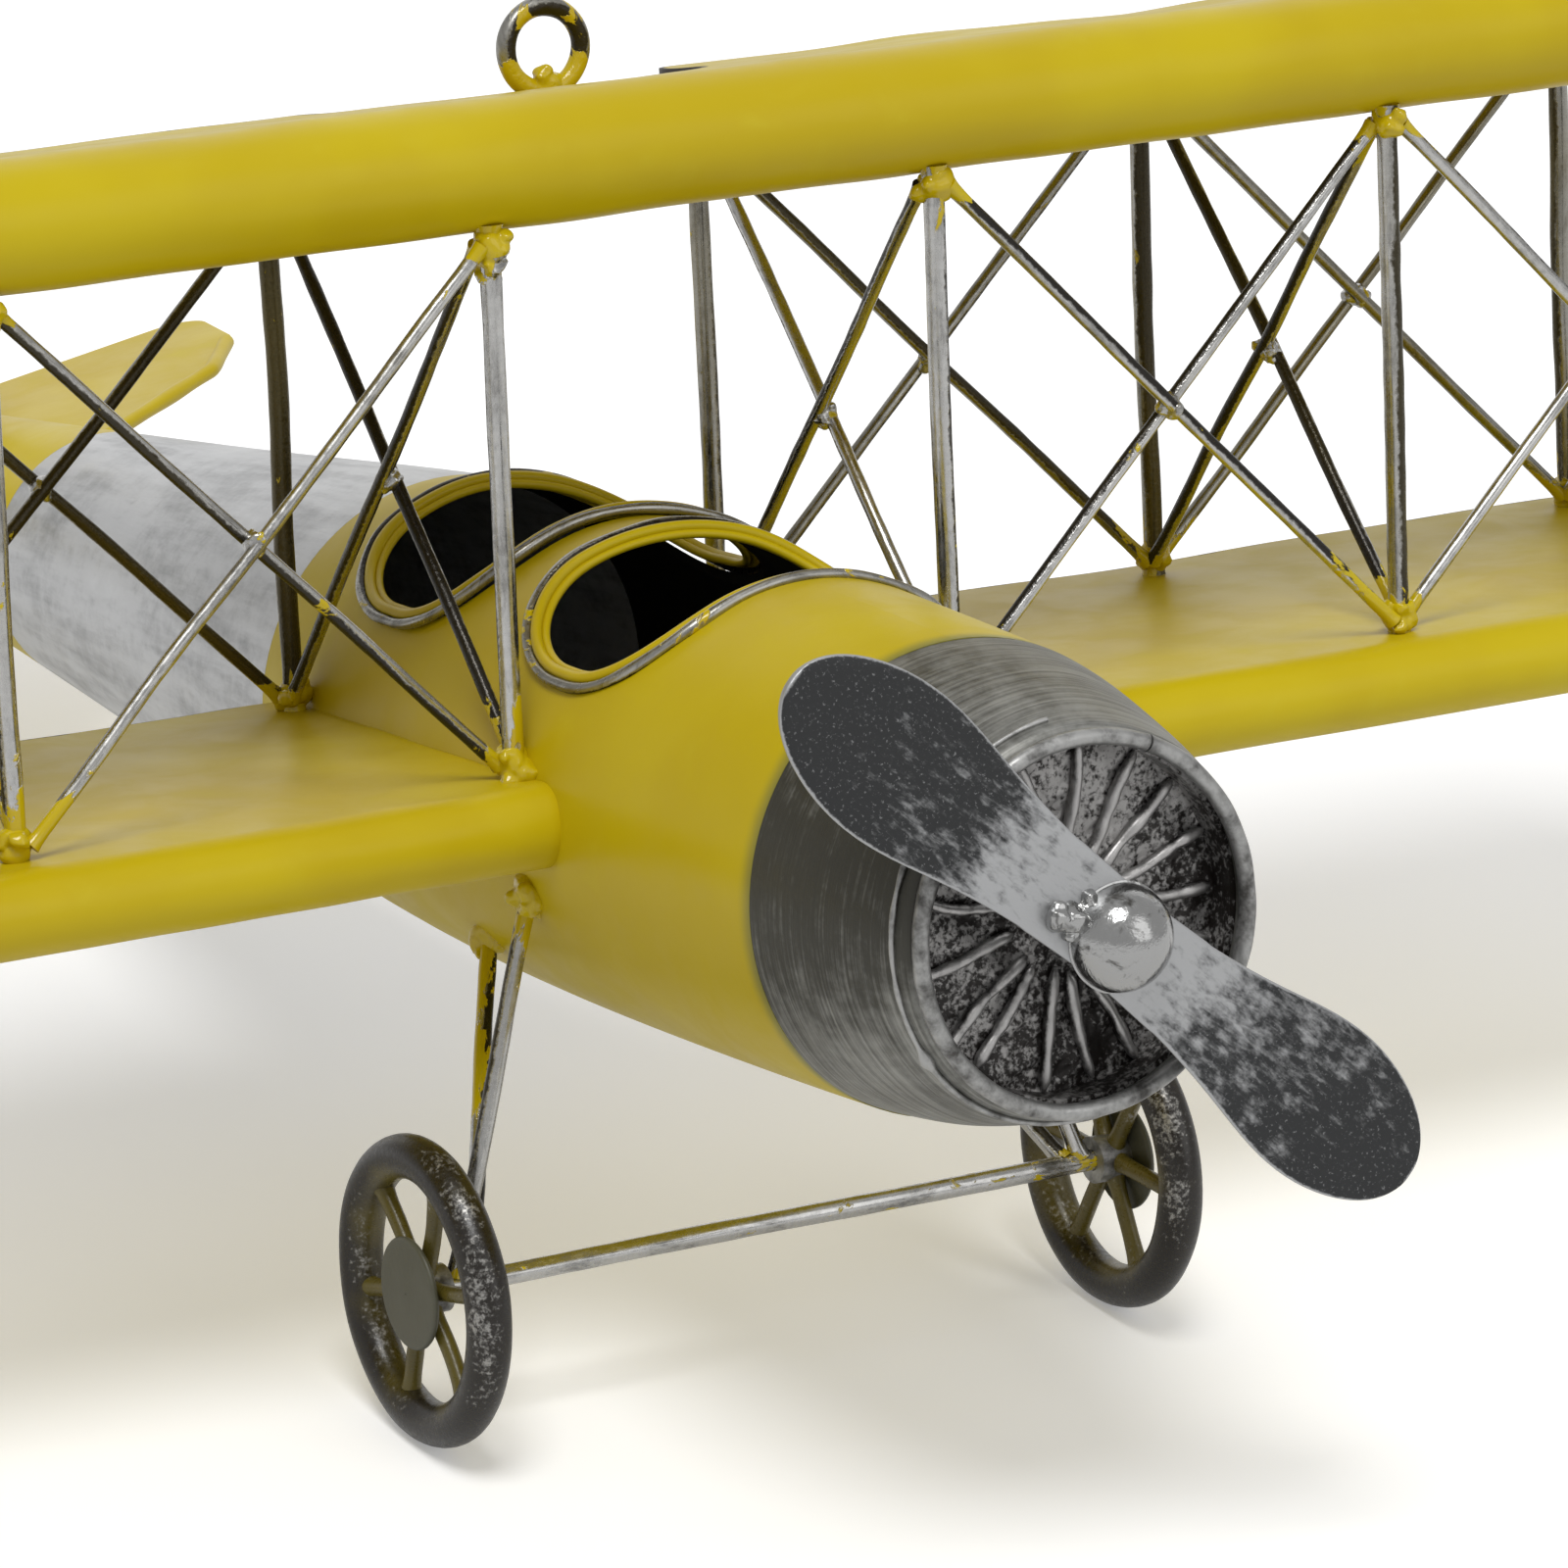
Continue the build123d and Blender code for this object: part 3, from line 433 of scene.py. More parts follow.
# %% Group: old yellow enamel
YELLOW = (0.57, 0.440, 0.003, 1.0)
YELLOW_DEEP = (0.52, 0.385, 0.002, 1.0)
YELLOW_PALE = (0.58, 0.48, 0.020, 1.0)
enamel, given, result = new_group(
    "Yellow enamel", {"Vector": "Vector"}, {"Color": "Color", "Roughness": "Float", "Height": "Float"}
)
mottle = noise(enamel, given["Vector"], 28.0, 3.0, 0.5)
dusting = noise(enamel, given["Vector"], 90.0, 5.0, 0.6, 0.4)
orange_peel = noise(enamel, given["Vector"], 650.0, 2.0, 0.5)
tone = blend_colour(enamel, step(enamel, mottle, 0.35, 0.7), YELLOW_DEEP, YELLOW)
tone = blend_colour(enamel, step(enamel, dusting, 0.55, 0.85, 0.0, 0.45), tone, YELLOW_PALE)
enamel.links.new(tone, result["Color"])
enamel.links.new(step(enamel, dusting, 0.3, 0.8, 0.33, 0.47), result["Roughness"])
enamel.links.new(orange_peel, result["Height"])
print("groups:", [group.name for group in bpy.data.node_groups])

# %% [markdown]
# ## Materials
# Each material reads either Object coordinates or the piece's own grain, a vector that
# runs along a wire and round it. Paint on a wire is an attribute, so yellow can climb a
# strut from its weld and then break up into flakes.

# %% Material: helpers


def new_material(name, **settings):
    """A material with its tree and its Principled shader, whose constants are set directly."""
    material = bpy.data.materials.new(name)
    material.use_nodes = True
    tree = material.node_tree
    shader = tree.nodes["Principled BSDF"]
    for label, value in settings.items():
        shader.inputs[label.replace("_", " ")].default_value = value
    return material, tree, shader


def wire_up(tree, shader, colour, roughness, metallic, height, depth):
    """Join colour, roughness and metal masks to the shader, and the height through a bump."""
    tree.links.new(colour, shader.inputs["Base Color"])
    tree.links.new(roughness, shader.inputs["Roughness"])
    if metallic is not None:
        tree.links.new(metallic, shader.inputs["Metallic"])
    bump = add_node(tree, "Bump", {"Height": height, "Distance": depth, "Strength": 1.0})
    tree.links.new(bump.outputs[0], shader.inputs["Normal"])


def attribute_of(tree, name, output="Fac"):
    """A value or vector the piece carries."""
    return add_node(tree, "Attribute", attribute_name=name).outputs[output]


def object_place(tree):
    """Object coordinates, which are the standing frame."""
    return add_node(tree, "TexCoord").outputs["Object"]


def hull_place(tree):
    """Object coordinates turned to the fuselage: across, aft from the axis start, and up."""
    angle = np.arctan2(AFT[2], AFT[1])
    sockets = {"Vector": object_place(tree), "Location": AXIS_START.tolist(), "Rotation": (angle, 0, 0)}
    return add_node(tree, "Mapping", sockets, vector_type="TEXTURE").outputs[0]


# %% [markdown]
# ### Yellow enamel on sheet
# The sheet is chipped to dark iron in a few spots and worn along its cut edges. Voronoi
# cells place the rare chips, and the wear attribute says where an edge is. Inside the
# fuselage the surface is painted dark as painted shade, found where it faces the fuselage's axis.

# %% Material: yellow enamel on sheet


def yellow_on_sheet(name, inside=False):
    """Yellow enamel with bare worn edges, dark chips, and painted shade on its inside where it is a shell."""
    material, tree, shader = new_material(name, IOR=1.34)
    place = object_place(tree)
    paint = place_group(tree, enamel, {"Vector": place})
    chips = add_node(tree, "TexVoronoi", {"Vector": place, "Scale": 62.0, "Randomness": 1.0})
    spread = noise(tree, place, 420.0, 3.0, 0.6)
    reach = math(tree, "ADD", chips.outputs["Distance"], math(tree, "MULTIPLY", spread, 0.05))
    sparse = step(tree, chips.outputs["Color"], 0.80, 0.82)
    chipped = math(tree, "MULTIPLY", step(tree, reach, 0.075, 0.062), sparse)
    worn = attribute_of(tree, "wear")
    ragged = math(tree, "ADD", worn, math(tree, "MULTIPLY", noise(tree, place, 260.0, 4.0, 0.7), 0.7))
    bare = math(tree, "MAXIMUM", chipped, step(tree, ragged, 1.0, 1.12))
    colour = blend_colour(tree, bare, paint["Color"], (0.045, 0.036, 0.028, 1))
    metal = math(tree, "MULTIPLY", bare, 0.5)
    hidden = 0.0
    if inside:
        hull = hull_place(tree)
        parts = add_node(tree, "SeparateXYZ", {0: hull}).outputs
        outward = add_node(tree, "CombineXYZ", {0: parts[0], 2: parts[2]}).outputs[0]
        turned = add_node(tree, "Mapping", {
            "Vector": add_node(tree, "NewGeometry").outputs["Normal"],
            "Rotation": (float(np.arctan2(AFT[2], AFT[1])), 0, 0)}, vector_type="TEXTURE").outputs[0]
        facing = add_node(tree, "VectorMath", {0: turned, 1: outward},
                          operation="DOT_PRODUCT").outputs["Value"]
        hidden = step(tree, facing, -0.008, -0.014)
        # painted shade inside the shell: dark olive under the front cockpit, nearly black under the rear one
        painted_inner_shade = blend_colour(tree, step(tree, parts[1], 0.026, 0.031), (0.016, 0.014, 0.004, 1),
                            (0.004, 0.004, 0.003, 1))
        colour = blend_colour(tree, hidden, colour, painted_inner_shade)
        # the bare cowl was sprayed after the yellow, and its overspray greens the shell's front edge; the
        # dark green band is also painted shade where the shell meets the cowl
        overspray_and_painted_shade = math(tree, "ADD", parts[1], math(tree, "MULTIPLY", noise(tree, place, 60.0), 0.002))
        colour = blend_colour(tree, step(tree, overspray_and_painted_shade, -0.0555, -0.0595, 0.0, 0.72), colour,
                              (0.10, 0.125, 0.05, 1))
    roughness = blend_value(tree, bare, paint["Roughness"], 0.5)
    roughness = blend_value(tree, hidden, roughness, 0.9)
    height = math(tree, "SUBTRACT", math(tree, "MULTIPLY", paint["Height"], 0.16), bare)
    wire_up(tree, shader, colour, roughness, metal, height, 0.00010)
    return material


yellow_sheet = yellow_on_sheet("yellow_enamel")
yellow_shell = yellow_on_sheet("yellow_enamel_shell", inside=True)

# %% [markdown]
# ### Rubbed wire
# The struts are iron wire, brushed to silver with dark pits, and one side of each wire is
# painted darker as painted shade. The grain vector follows each wire, so streaks run along it however the
# wire turns.

# %% Material: rubbed wire


def rubbed_wire(name, silver, dark, streak_from, ring_marks=0.07, haze=0.22, shine=0.17):
    """Iron wire brushed to silver, with dark pits, a painted shade down one side and flakes of yellow."""
    material, tree, shader = new_material(name)
    grain = attribute_of(tree, "grain", "Vector")
    patches = place_group(tree, rubbed, {
        "Vector": stretched(tree, grain, (0.35, 1, 1)), "Scale": 210.0, "Cover": 0.44, "Softness": 0.10})
    rings = noise(tree, stretched(tree, grain, (1, 0.3, 0.3)), 1500.0, 2.0, 0.5)
    pits = noise(tree, grain, 1100.0, 3.0, 0.65)
    # painted shade: one side of each wire is darkened, made ragged by the patina clouds and pits
    side = math(tree, "ADD", attribute_of(tree, "streak"), math(tree, "MULTIPLY", patches["Cloud"], 1.5))
    side = math(tree, "ADD", side, math(tree, "MULTIPLY", pits, 0.7))
    pits_and_painted_shade = step(tree, side, streak_from, streak_from + 0.35)
    bare = math(tree, "MULTIPLY", blend_value(tree, patches["Bare"], 0.45, 1.0),
                math(tree, "SUBTRACT", 1.0, pits_and_painted_shade))
    brushed = step(tree, rings, 0.35, 0.65, 1.0 - ring_marks, 1.0)
    colour = blend_colour(tree, math(tree, "MULTIPLY", bare, brushed), dark, silver)
    olive = step(tree, noise(tree, stretched(tree, grain, (0.3, 1, 1)), 60.0, 2.0), 0.45, 0.75, 0.0, haze)
    colour = blend_colour(tree, olive, colour, (0.16, 0.125, 0.03, 1))
    flakes = place_group(tree, flaked, {"Vector": stretched(tree, grain, (0.55, 1, 1)), "Scale": 420.0,
                                        "Amount": attribute_of(tree, "paint")})["Mask"]
    paint = place_group(tree, enamel, {"Vector": grain})
    colour = blend_colour(tree, flakes, colour, paint["Color"])
    bare_metal = step(tree, bare, 0.0, 1.0, 0.5, 1.0)
    metallic = math(tree, "MULTIPLY", bare_metal, math(tree, "SUBTRACT", 1.0, flakes))
    rough = step(tree, patches["Grit"], 0.3, 0.7, shine, shine + 0.16)
    roughness = blend_value(tree, flakes, rough, math(tree, "SUBTRACT", paint["Roughness"], 0.21))
    height = math(tree, "SUBTRACT", math(tree, "MULTIPLY", patches["Cloud"], 0.5),
                  math(tree, "MULTIPLY", math(tree, "MULTIPLY", pits, pits_and_painted_shade), 0.9))
    height = math(tree, "ADD", height, math(tree, "MULTIPLY", flakes, 0.6))
    wire_up(tree, shader, colour, roughness, metallic, height, 0.00012)
    return material


SILVER = (0.60, 0.595, 0.58, 1)
PEWTER = (0.40, 0.39, 0.36, 1)
BLACK_IRON = (0.022, 0.019, 0.015, 1)
wire_finish = rubbed_wire("rubbed_wire", SILVER, BLACK_IRON, 1.18)
rear_wire_finish = rubbed_wire("olive_wire", PEWTER, (0.045, 0.036, 0.016, 1), 0.85, 0.1, 0.6)
dark_wire_finish = rubbed_wire("rubbed_rim_wire", PEWTER, (0.016, 0.012, 0.008, 1), 0.80, 0.05, 0.1, 0.24)

# %% [markdown]
# ### Wheel iron
# The wheels are brown-black with silver rubbed on, brightest on the side facing the camera as a painted
# highlight, and olive overspray inside.
# They turn, so their finish reads Object coordinates, which ride with each wheel.

# %% Material: wheel iron
wheel_finish, tree, shader = new_material("wheel_iron_finish")
place = object_place(tree)
soft = noise(tree, place, 130.0, 4.0, 0.6)
speckle = noise(tree, place, 1300.0, 4.0, 0.7)
# silver where the tyre is rubbed, and a painted highlight where its wear faces the camera
silver_wear_and_painted_highlight = math(tree, "ADD", attribute_of(tree, "wear"), math(tree, "MULTIPLY", speckle, 1.1))
silver_wear_and_painted_highlight = math(tree, "ADD", silver_wear_and_painted_highlight, math(tree, "MULTIPLY", soft, 0.5))
silver_wear_and_painted_highlight = step(tree, silver_wear_and_painted_highlight, 1.02, 1.30, 0.0, 0.9)
overspray = math(tree, "ADD", attribute_of(tree, "paint"), math(tree, "MULTIPLY", soft, 0.5))
overspray = step(tree, overspray, 0.45, 0.95, 0.0, 0.85)
colour = blend_colour(tree, overspray, (0.013, 0.010, 0.007, 1), (0.125, 0.098, 0.014, 1))
colour = blend_colour(tree, silver_wear_and_painted_highlight, colour, (0.44, 0.43, 0.41, 1))
wire_up(tree, shader, colour, step(tree, speckle, 0.3, 0.7, 0.24, 0.40),
        math(tree, "MULTIPLY", silver_wear_and_painted_highlight, 0.95), speckle, 0.00005)

# %% [markdown]
# ### Bare brushed sheet
# Cowl, rear fuselage, blade, ring and casting are bare metal with patina brushed over it.
# One function serves them all, because only the direction of the strokes, the amount of
# dark and the two tones differ. A shade attribute darkens or clears a region; on the cowl it is painted
# shade.

# %% Material: bare brushed sheet


def brushed_sheet(name, grain_scale, cover, silver, dark, softness, metal=0.85, own_grain=False,
                  specks=0.0):
    """Bare sheet brushed over with dark patina: long strokes, soft clouds and fine grit."""
    material, tree, shader = new_material(name)
    place = attribute_of(tree, "grain", "Vector") if own_grain else hull_place(tree)
    strokes = noise(tree, stretched(tree, place, grain_scale), 1.0, 5.0, 0.65, 0.2)
    clouds = place_group(tree, rubbed, {"Vector": place, "Scale": 42.0, "Cover": 0.5, "Softness": 0.22})
    cloudy = math(tree, "MULTIPLY", clouds["Bare"], 0.22)
    mixed = math(tree, "ADD", math(tree, "MULTIPLY", strokes, 0.6), cloudy)
    mixed = math(tree, "ADD", mixed, math(tree, "MULTIPLY", clouds["Grit"], 0.18))
    # the shade attribute: on the cowl it carries painted shade
    mixed = math(tree, "ADD", mixed, attribute_of(tree, "shade"))
    bare = step(tree, mixed, cover - softness, cover + softness)
    worn = attribute_of(tree, "wear")
    fine = noise(tree, place, 900.0, 4.0, 0.75)
    rubbed_edge = step(tree, math(tree, "ADD", worn, math(tree, "MULTIPLY", fine, 0.6)), 0.85, 1.15)
    bare = math(tree, "MAXIMUM", bare, rubbed_edge)
    if specks:
        speck = step(tree, noise(tree, place, 1700.0, 3.0, 0.7), 0.58, 0.70, 0.0, specks)
        bare = math(tree, "MAXIMUM", bare, speck)
    colour = blend_colour(tree, bare, dark, silver)
    roughness = step(tree, clouds["Grit"], 0.3, 0.7, 0.34, 0.52)
    metallic = step(tree, bare, 0.0, 1.0, metal * 0.5, metal)
    height = math(tree, "ADD", strokes, math(tree, "MULTIPLY", fine, 0.5))
    wire_up(tree, shader, colour, roughness, metallic, height, 0.00008)
    return material


cowl_finish = brushed_sheet("brushed_cowl", (34, 1500, 34), 0.54, (0.40, 0.40, 0.375, 1),
                            (0.052, 0.050, 0.040, 1), 0.24)
hull_finish = brushed_sheet("brushed_hull", (240, 26, 240), 0.40, (0.60, 0.605, 0.61, 1),
                            (0.24, 0.243, 0.247, 1), 0.20, 0.7)
blade_finish = brushed_sheet("brushed_blade", (260, 760, 260), 0.56, (0.46, 0.465, 0.47, 1),
                             (0.026, 0.027, 0.028, 1), 0.14, 0.75, own_grain=True, specks=0.42)
ring_finish = brushed_sheet("brushed_ring", (230, 230, 230), 0.48, (0.46, 0.46, 0.45, 1),
                            (0.045, 0.042, 0.038, 1), 0.16, 0.95)
casting_finish = brushed_sheet("dry_brushed_casting", (1300, 1300, 1300), 0.53, (0.40, 0.39, 0.38, 1),
                               (0.014, 0.011, 0.009, 1), 0.07, 0.7)

# %% [markdown]
# ### Polished spinner
# The dome is the one bright polished part, with smudges in it. Low roughness and a smudge
# mask on a metal are enough, since a dome shows the light by its shape.

# %% Material: polished spinner
polished, tree, shader = new_material("polished_spinner")
place = object_place(tree)
smudge = noise(tree, place, 180.0, 5.0, 0.65, 0.5)
fine = noise(tree, place, 1300.0, 3.0, 0.7)
stain = step(tree, smudge, 0.44, 0.32, 0.0, 0.9)
colour = blend_colour(tree, stain, (0.44, 0.44, 0.435, 1), (0.04, 0.036, 0.03, 1))
roughness = step(tree, fine, 0.3, 0.8, 0.13, 0.30)
wire_up(tree, shader, colour, roughness, step(tree, stain, 0.0, 1.0, 1.0, 0.6), smudge, 0.00025)

# %% [markdown]
# ### Hub discs
# The discs that cover the hubs are matt olive-grey paint. Two close tones keep them plain.

# %% Material: hub discs
hub_paint, tree, shader = new_material("hub_disc_grey")
place = object_place(tree)
cloud = noise(tree, place, 160.0, 4.0, 0.6)
colour = blend_colour(tree, step(tree, cloud, 0.35, 0.7), (0.070, 0.068, 0.042, 1), (0.094, 0.092, 0.066, 1))
wire_up(tree, shader, colour, step(tree, cloud, 0.3, 0.7, 0.42, 0.55), None,
        noise(tree, place, 900.0), 0.00004)
print("materials:", [material.name for material in bpy.data.materials])

# %% [markdown]
# ## Struts, braces and legs
# Each rod keeps its measured line but bends by a tenth of a millimetre, thickens where the
# weld ran onto it, and carries paint that fades from its ends.

# %% Rods from the frame


def worked_rod(start, end, radius, seed, paint_ends=(0.012, 0.006), reach=0.0012, step_length=0.0009):
    """A rod with a little bend, uneven thickness, weld metal at its ends and fading paint."""
    random = np.random.default_rng(seed)
    direction = unit(end - start)
    start, end = start - reach * direction, end + reach * direction
    length = np.linalg.norm(end - start)
    count = max(8, int(length / step_length))
    share = np.linspace(0, 1, count)
    along = share * length
    side = unit(np.cross(direction, [0.3, 0.5, 0.81]))
    other = np.cross(direction, side)
    flow = np.stack([along, np.zeros(count), np.zeros(count)], axis=1)
    fade = np.sin(pi * share)
    bend = 0.00022 * fade * ripple(flow, 0.045, seed + 1)
    sway = 0.00022 * fade * ripple(flow, 0.045, seed + 2)
    path = start + share[:, None] * (end - start) + bend[:, None] * side + sway[:, None] * other
    near = np.minimum(along, length - along)
    thick = radius * (1 + 0.025 * ripple(flow, 0.006, seed + 3) + 0.35 * np.exp(-near / 0.0012))
    from_foot, from_head = [depth * random.uniform(0.5, 1.6) for depth in paint_ends]
    paint = np.exp(-(along / from_foot) ** 2) + np.exp(-((length - along) / from_head) ** 2)
    paint = np.clip(0.85 * paint + 0.10 + 0.14 * ripple(flow, 0.02, seed + 4), 0, 1)
    angle = np.arange(16) * 2 * pi / 16
    patchy = paint[:, None] * (0.8 + 0.3 * np.sin(angle + random.uniform(0, 6)))
    return tube(path, thick, side, sides=16, paint=patchy, seed=seed)


rod_nodes = sorted(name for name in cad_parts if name.endswith(("_struts", "_brace", "_leg")))
for number, name in enumerate(rod_nodes):
    paint_ends = (0.012, 0.004) if name.endswith("_leg") else (0.007, 0.005)
    if name.endswith("_leg"):
        paint_ends = (0.001, 0.021)
    rods = [worked_rod(*rod_of(points), 100 + 10 * number + k, paint_ends)
            for k, points in enumerate(solids_of(name))]
    behind = [rod["points"][:, 1].mean() > -0.045 and "front_leg" not in name for rod in rods]
    ahead_rods = [rod for rod, back in zip(rods, behind) if not back]
    rear_rods = [rod for rod, back in zip(rods, behind) if back]
    if ahead_rods:
        add_piece(name + "_wire", joined(ahead_rods), wire_finish, "worn_wire", stands_for=(name,))
    if rear_rods:
        add_piece(name + "_rear_wire", joined(rear_rods), rear_wire_finish, "worn_wire", stands_for=(name,))
print("rods made for", len(rod_nodes), "nodes")

# %% [markdown]
# ## Weld beads
# A weld is a pile of lumps that melted together. We pile lumpy balls at each measured bead,
# and some more from a list: a dark knot on one strut, spatter by its foot, a drip on one leg. A
# voxel remesh melts them, and the big ones, which join painted sheet, are marked as painted.

# %% Melt the welds


def melted(name, shapes, voxel, soften):
    """Balls joined and remeshed into one skin, then softened. Returns its points and faces."""
    pile = joined(shapes)
    mesh = bpy.data.meshes.new(name)
    mesh.from_pydata(pile["points"].tolist(), [], pile["faces"])
    piece = bpy.data.objects.new(name, mesh)
    bpy.context.scene.collection.objects.link(piece)
    remesh = piece.modifiers.new("melt", "REMESH")
    remesh.mode = "VOXEL"
    remesh.voxel_size = voxel
    smooth = piece.modifiers.new("soften", "SMOOTH")
    smooth.iterations = soften
    done = bpy.data.meshes.new_from_object(piece.evaluated_get(bpy.context.evaluated_depsgraph_get()))
    flat = np.empty(3 * len(done.vertices))
    done.vertices.foreach_get("co", flat)
    faces = [list(face.vertices) for face in done.polygons]
    bpy.data.objects.remove(piece)
    bpy.data.meshes.remove(mesh)
    bpy.data.meshes.remove(done)
    return flat.reshape(-1, 3), faces


KNOT_DROP = 0.0048
BIG_BEAD = 0.0023
beads = [((points.min(0) + points.max(0)) / 2, np.ptp(points, axis=0).max() / 2)
         for points in solids_of("weld_beads")]
random = np.random.default_rng(7)
pile = []
for number, (centre, radius) in enumerate(beads):
    pile.append(lump(centre, np.array([0.90, 0.90, 0.98]) * radius, number, 0.2))
    for extra in range(7):
        direction = unit(random.normal(size=3))
        size = radius * random.uniform(0.24, 0.55)
        place = centre + direction * radius * random.uniform(0.6, 0.95)
        pile.append(lump(place, size, number + extra, 0.2, 12))
inner_rods = [rod_of(points) for points in solids_of("starboard_inner_struts")]
foot, head, _ = min(inner_rods, key=lambda rod: rod[1][1])
knot = head - KNOT_DROP * unit(head - foot)
leg_head = rod_of(solids_of("starboard_front_leg")[0])[1]
# each row: where from, offset in mm, size in mm, height over width, seed, roughness, sides
extra_welds = [
    (knot, (0, 0, 0), 2.1, 2.7 / 2.1, 77, 0.20, 20),
    (foot, (3.1, -0.6, -0.6), 1.5, 1, 78, 0.20, 12),
    (foot, (5.2, -0.2, -1.0), 0.7, 1, 78, 0.20, 12),
    (foot, (6.6, 1.0, -1.2), 0.5, 1, 78, 0.20, 12),
    (leg_head, (0, 0, 0), 2.3, 1.15, 79, 0.22, 14),
    (leg_head, (0.48, -0.56, -1.6), 1.9, 1.15, 79, 0.22, 14),
    (leg_head, (0.96, -1.12, -3.2), 1.3, 1.15, 79, 0.22, 14),
    (foot, (1.0, -1.6, 1.2), 1.9, 1, 80, 0.25, 14),
    (foot, (-1.2, -1.2, 0.0), 1.7, 1, 80, 0.25, 14),
]
for place, offset, size, stretch, seed, rough, sides in extra_welds:
    radii = np.array([1, 1, stretch]) * size * MM
    pile.append(lump(place + np.array(offset) * MM, radii, seed, rough, sides))
bead_points, bead_faces = melted("welds", pile, 0.00027, 2)
centres = np.array([centre for centre, _ in beads])
radii = np.array([radius for _, radius in beads])
nearest = np.argmin(np.linalg.norm(bead_points[:, None] - centres, axis=2), axis=1)
big = radii[nearest] > BIG_BEAD
patches = 0.12 * ripple(bead_points, 0.004, 3)
painted = np.where(big, 0.92 + patches, 0.28 + patches)
painted = np.where(np.linalg.norm(bead_points - knot, axis=1) < 0.0032, 0.42 + 2 * patches, painted)
add_piece("weld_lumps", shape(bead_points, bead_faces, paint=painted.clip(0, 1), grain=bead_points),
          wire_finish, "yellow_paint", stands_for=("weld_beads",), sharp=180)
print("welds:", len(beads), "beads,", len(bead_faces), "faces")

# %% [markdown]
# ## Wings
# Each wing is one sheet, rolled round its front edge and run back flat. Its section is an
# arc and a line. Across the span the sheet stops at the tip's rounded corners, at the
# fuselage, or at the cut-out, so the two parameters are the way along the section and the
# share of the span. Solidify gives the sheet its thickness.

# %% Wing surface

HALF_SPAN = float(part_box("upper_wing")[1][0])
TRAILING_Y = 0.075
ROLL_SWEEP = radians(235.0)
TIP_REAR = 0.026
TIP_FRONT = 0.009


def wing_section(roll_y, roll_z, roll_radius, slope, breaks):
    """A wing's section in the level frame: the roll's arc from its hidden end, then the flat run.

    breaks are places along the chord that get a row of points, ending at the trailing edge.
    """
    turn = radians(90) + slope + np.linspace(ROLL_SWEEP, 0, 48)
    middle = roll_radius - SHEET / 2
    y, z = roll_y + middle * np.cos(turn), roll_z + middle * np.sin(turn)
    run = [y[-1]]
    for place in breaks:
        count = max(3, int((place - run[-1]) / 0.0011))
        ease = (1 - np.cos(np.linspace(0, pi, count + 1))) / 2
        run += list(run[-1] + (place - run[-1]) * ease[1:])
    run = np.array(run[1:])
    return np.concatenate([y, run]), np.concatenate([z, z[-1] + (run - y[-1]) * tan(slope)])


def tip_reach(y, front_y):
    """Half span at a place along the chord, less a quarter circle at each tip corner."""
    rear = np.clip((y - TRAILING_Y + TIP_REAR) / TIP_REAR, 0, 1)
    front = np.clip((front_y + TIP_FRONT - y) / TIP_FRONT, 0, 1)
    return HALF_SPAN - TIP_REAR * (1 - np.sqrt(1 - rear**2)) - TIP_FRONT * (1 - np.sqrt(1 - front**2))


def edge_wear(points, faces, reach):
    """How near each point is to an open edge: 1 on it, fading over reach."""
    faces = np.asarray(faces)
    pairs = np.sort(np.stack([faces, np.roll(faces, -1, axis=1)], axis=-1).reshape(-1, 2), axis=1)
    pairs, uses = np.unique(pairs, axis=0, return_counts=True)
    rim = points[np.unique(pairs[uses == 1])]
    distance = np.full(len(points), np.inf)
    for some in np.array_split(rim, max(1, len(rim) // 100)):
        distance = np.minimum(distance, np.linalg.norm(points[:, None] - some, axis=2).min(axis=1))
    return np.exp(-distance / reach)


def add_sheet(name, points, faces, material, slot, wear_reach=0.0012, worn_from=0.0, **rest):
    """A sheet with worn edges, its unused points dropped and its thickness from Solidify.

    Edges nearer the middle than worn_from are not worn, because a weld covers them.
    """
    used, flat = np.unique(np.asarray(faces), return_inverse=True)
    faces = flat.reshape(np.shape(faces))
    points = points.reshape(-1, 3)[used]
    away = np.clip((np.abs(points[:, 0]) - worn_from) / 0.004, 0, 1) if worn_from else 1.0
    made = shape(points, faces, wear=edge_wear(points, faces, wear_reach) * away)
    piece = add_piece(name, made, material, slot, **rest)
    solid = piece.modifiers.new("thickness", "SOLIDIFY")
    solid.thickness, solid.offset = SHEET, 0
    bevel = piece.modifiers.new("soft edges", "BEVEL")
    bevel.width, bevel.segments, bevel.limit_method = 0.00022, 2, "ANGLE"
    return piece


# %% [markdown]
# ### Upper wing
# The upper wing is one sheet across the whole span, with a bay cut from its trailing edge.
# The bay's rounded corners bend the grid lines at its sides, so no boolean is needed.

# %% Upper wing with its cut-out
CUT_HALF = 0.031
CUT_FRONT = 0.047
CUT_INNER, CUT_OUTER = 0.008, 0.012
upper_y, upper_z = wing_section(0, 0.085, 0.009, -radians(6.8), [CUT_FRONT, TRAILING_Y])
behind = np.clip(upper_y - CUT_FRONT, 0, None)
inner_arc = CUT_INNER - np.sqrt(np.clip(CUT_INNER**2 - np.clip(CUT_INNER - behind, 0, None) ** 2, 0, None))
flare = np.clip(upper_y - (TRAILING_Y - CUT_OUTER), 0, CUT_OUTER)
outer_arc = CUT_OUTER - np.sqrt(CUT_OUTER**2 - flare**2)
root = np.where(behind > 0, CUT_HALF - inner_arc + outer_arc, CUT_HALF - CUT_INNER)
tip = tip_reach(upper_y, -0.0099)
half_share = np.concatenate([np.linspace(0, 0.86, 110), 0.86 + 0.14 * np.sin(np.linspace(0, pi / 2, 26))[1:]])
half_x = root[:, None] + (tip - root)[:, None] * half_share
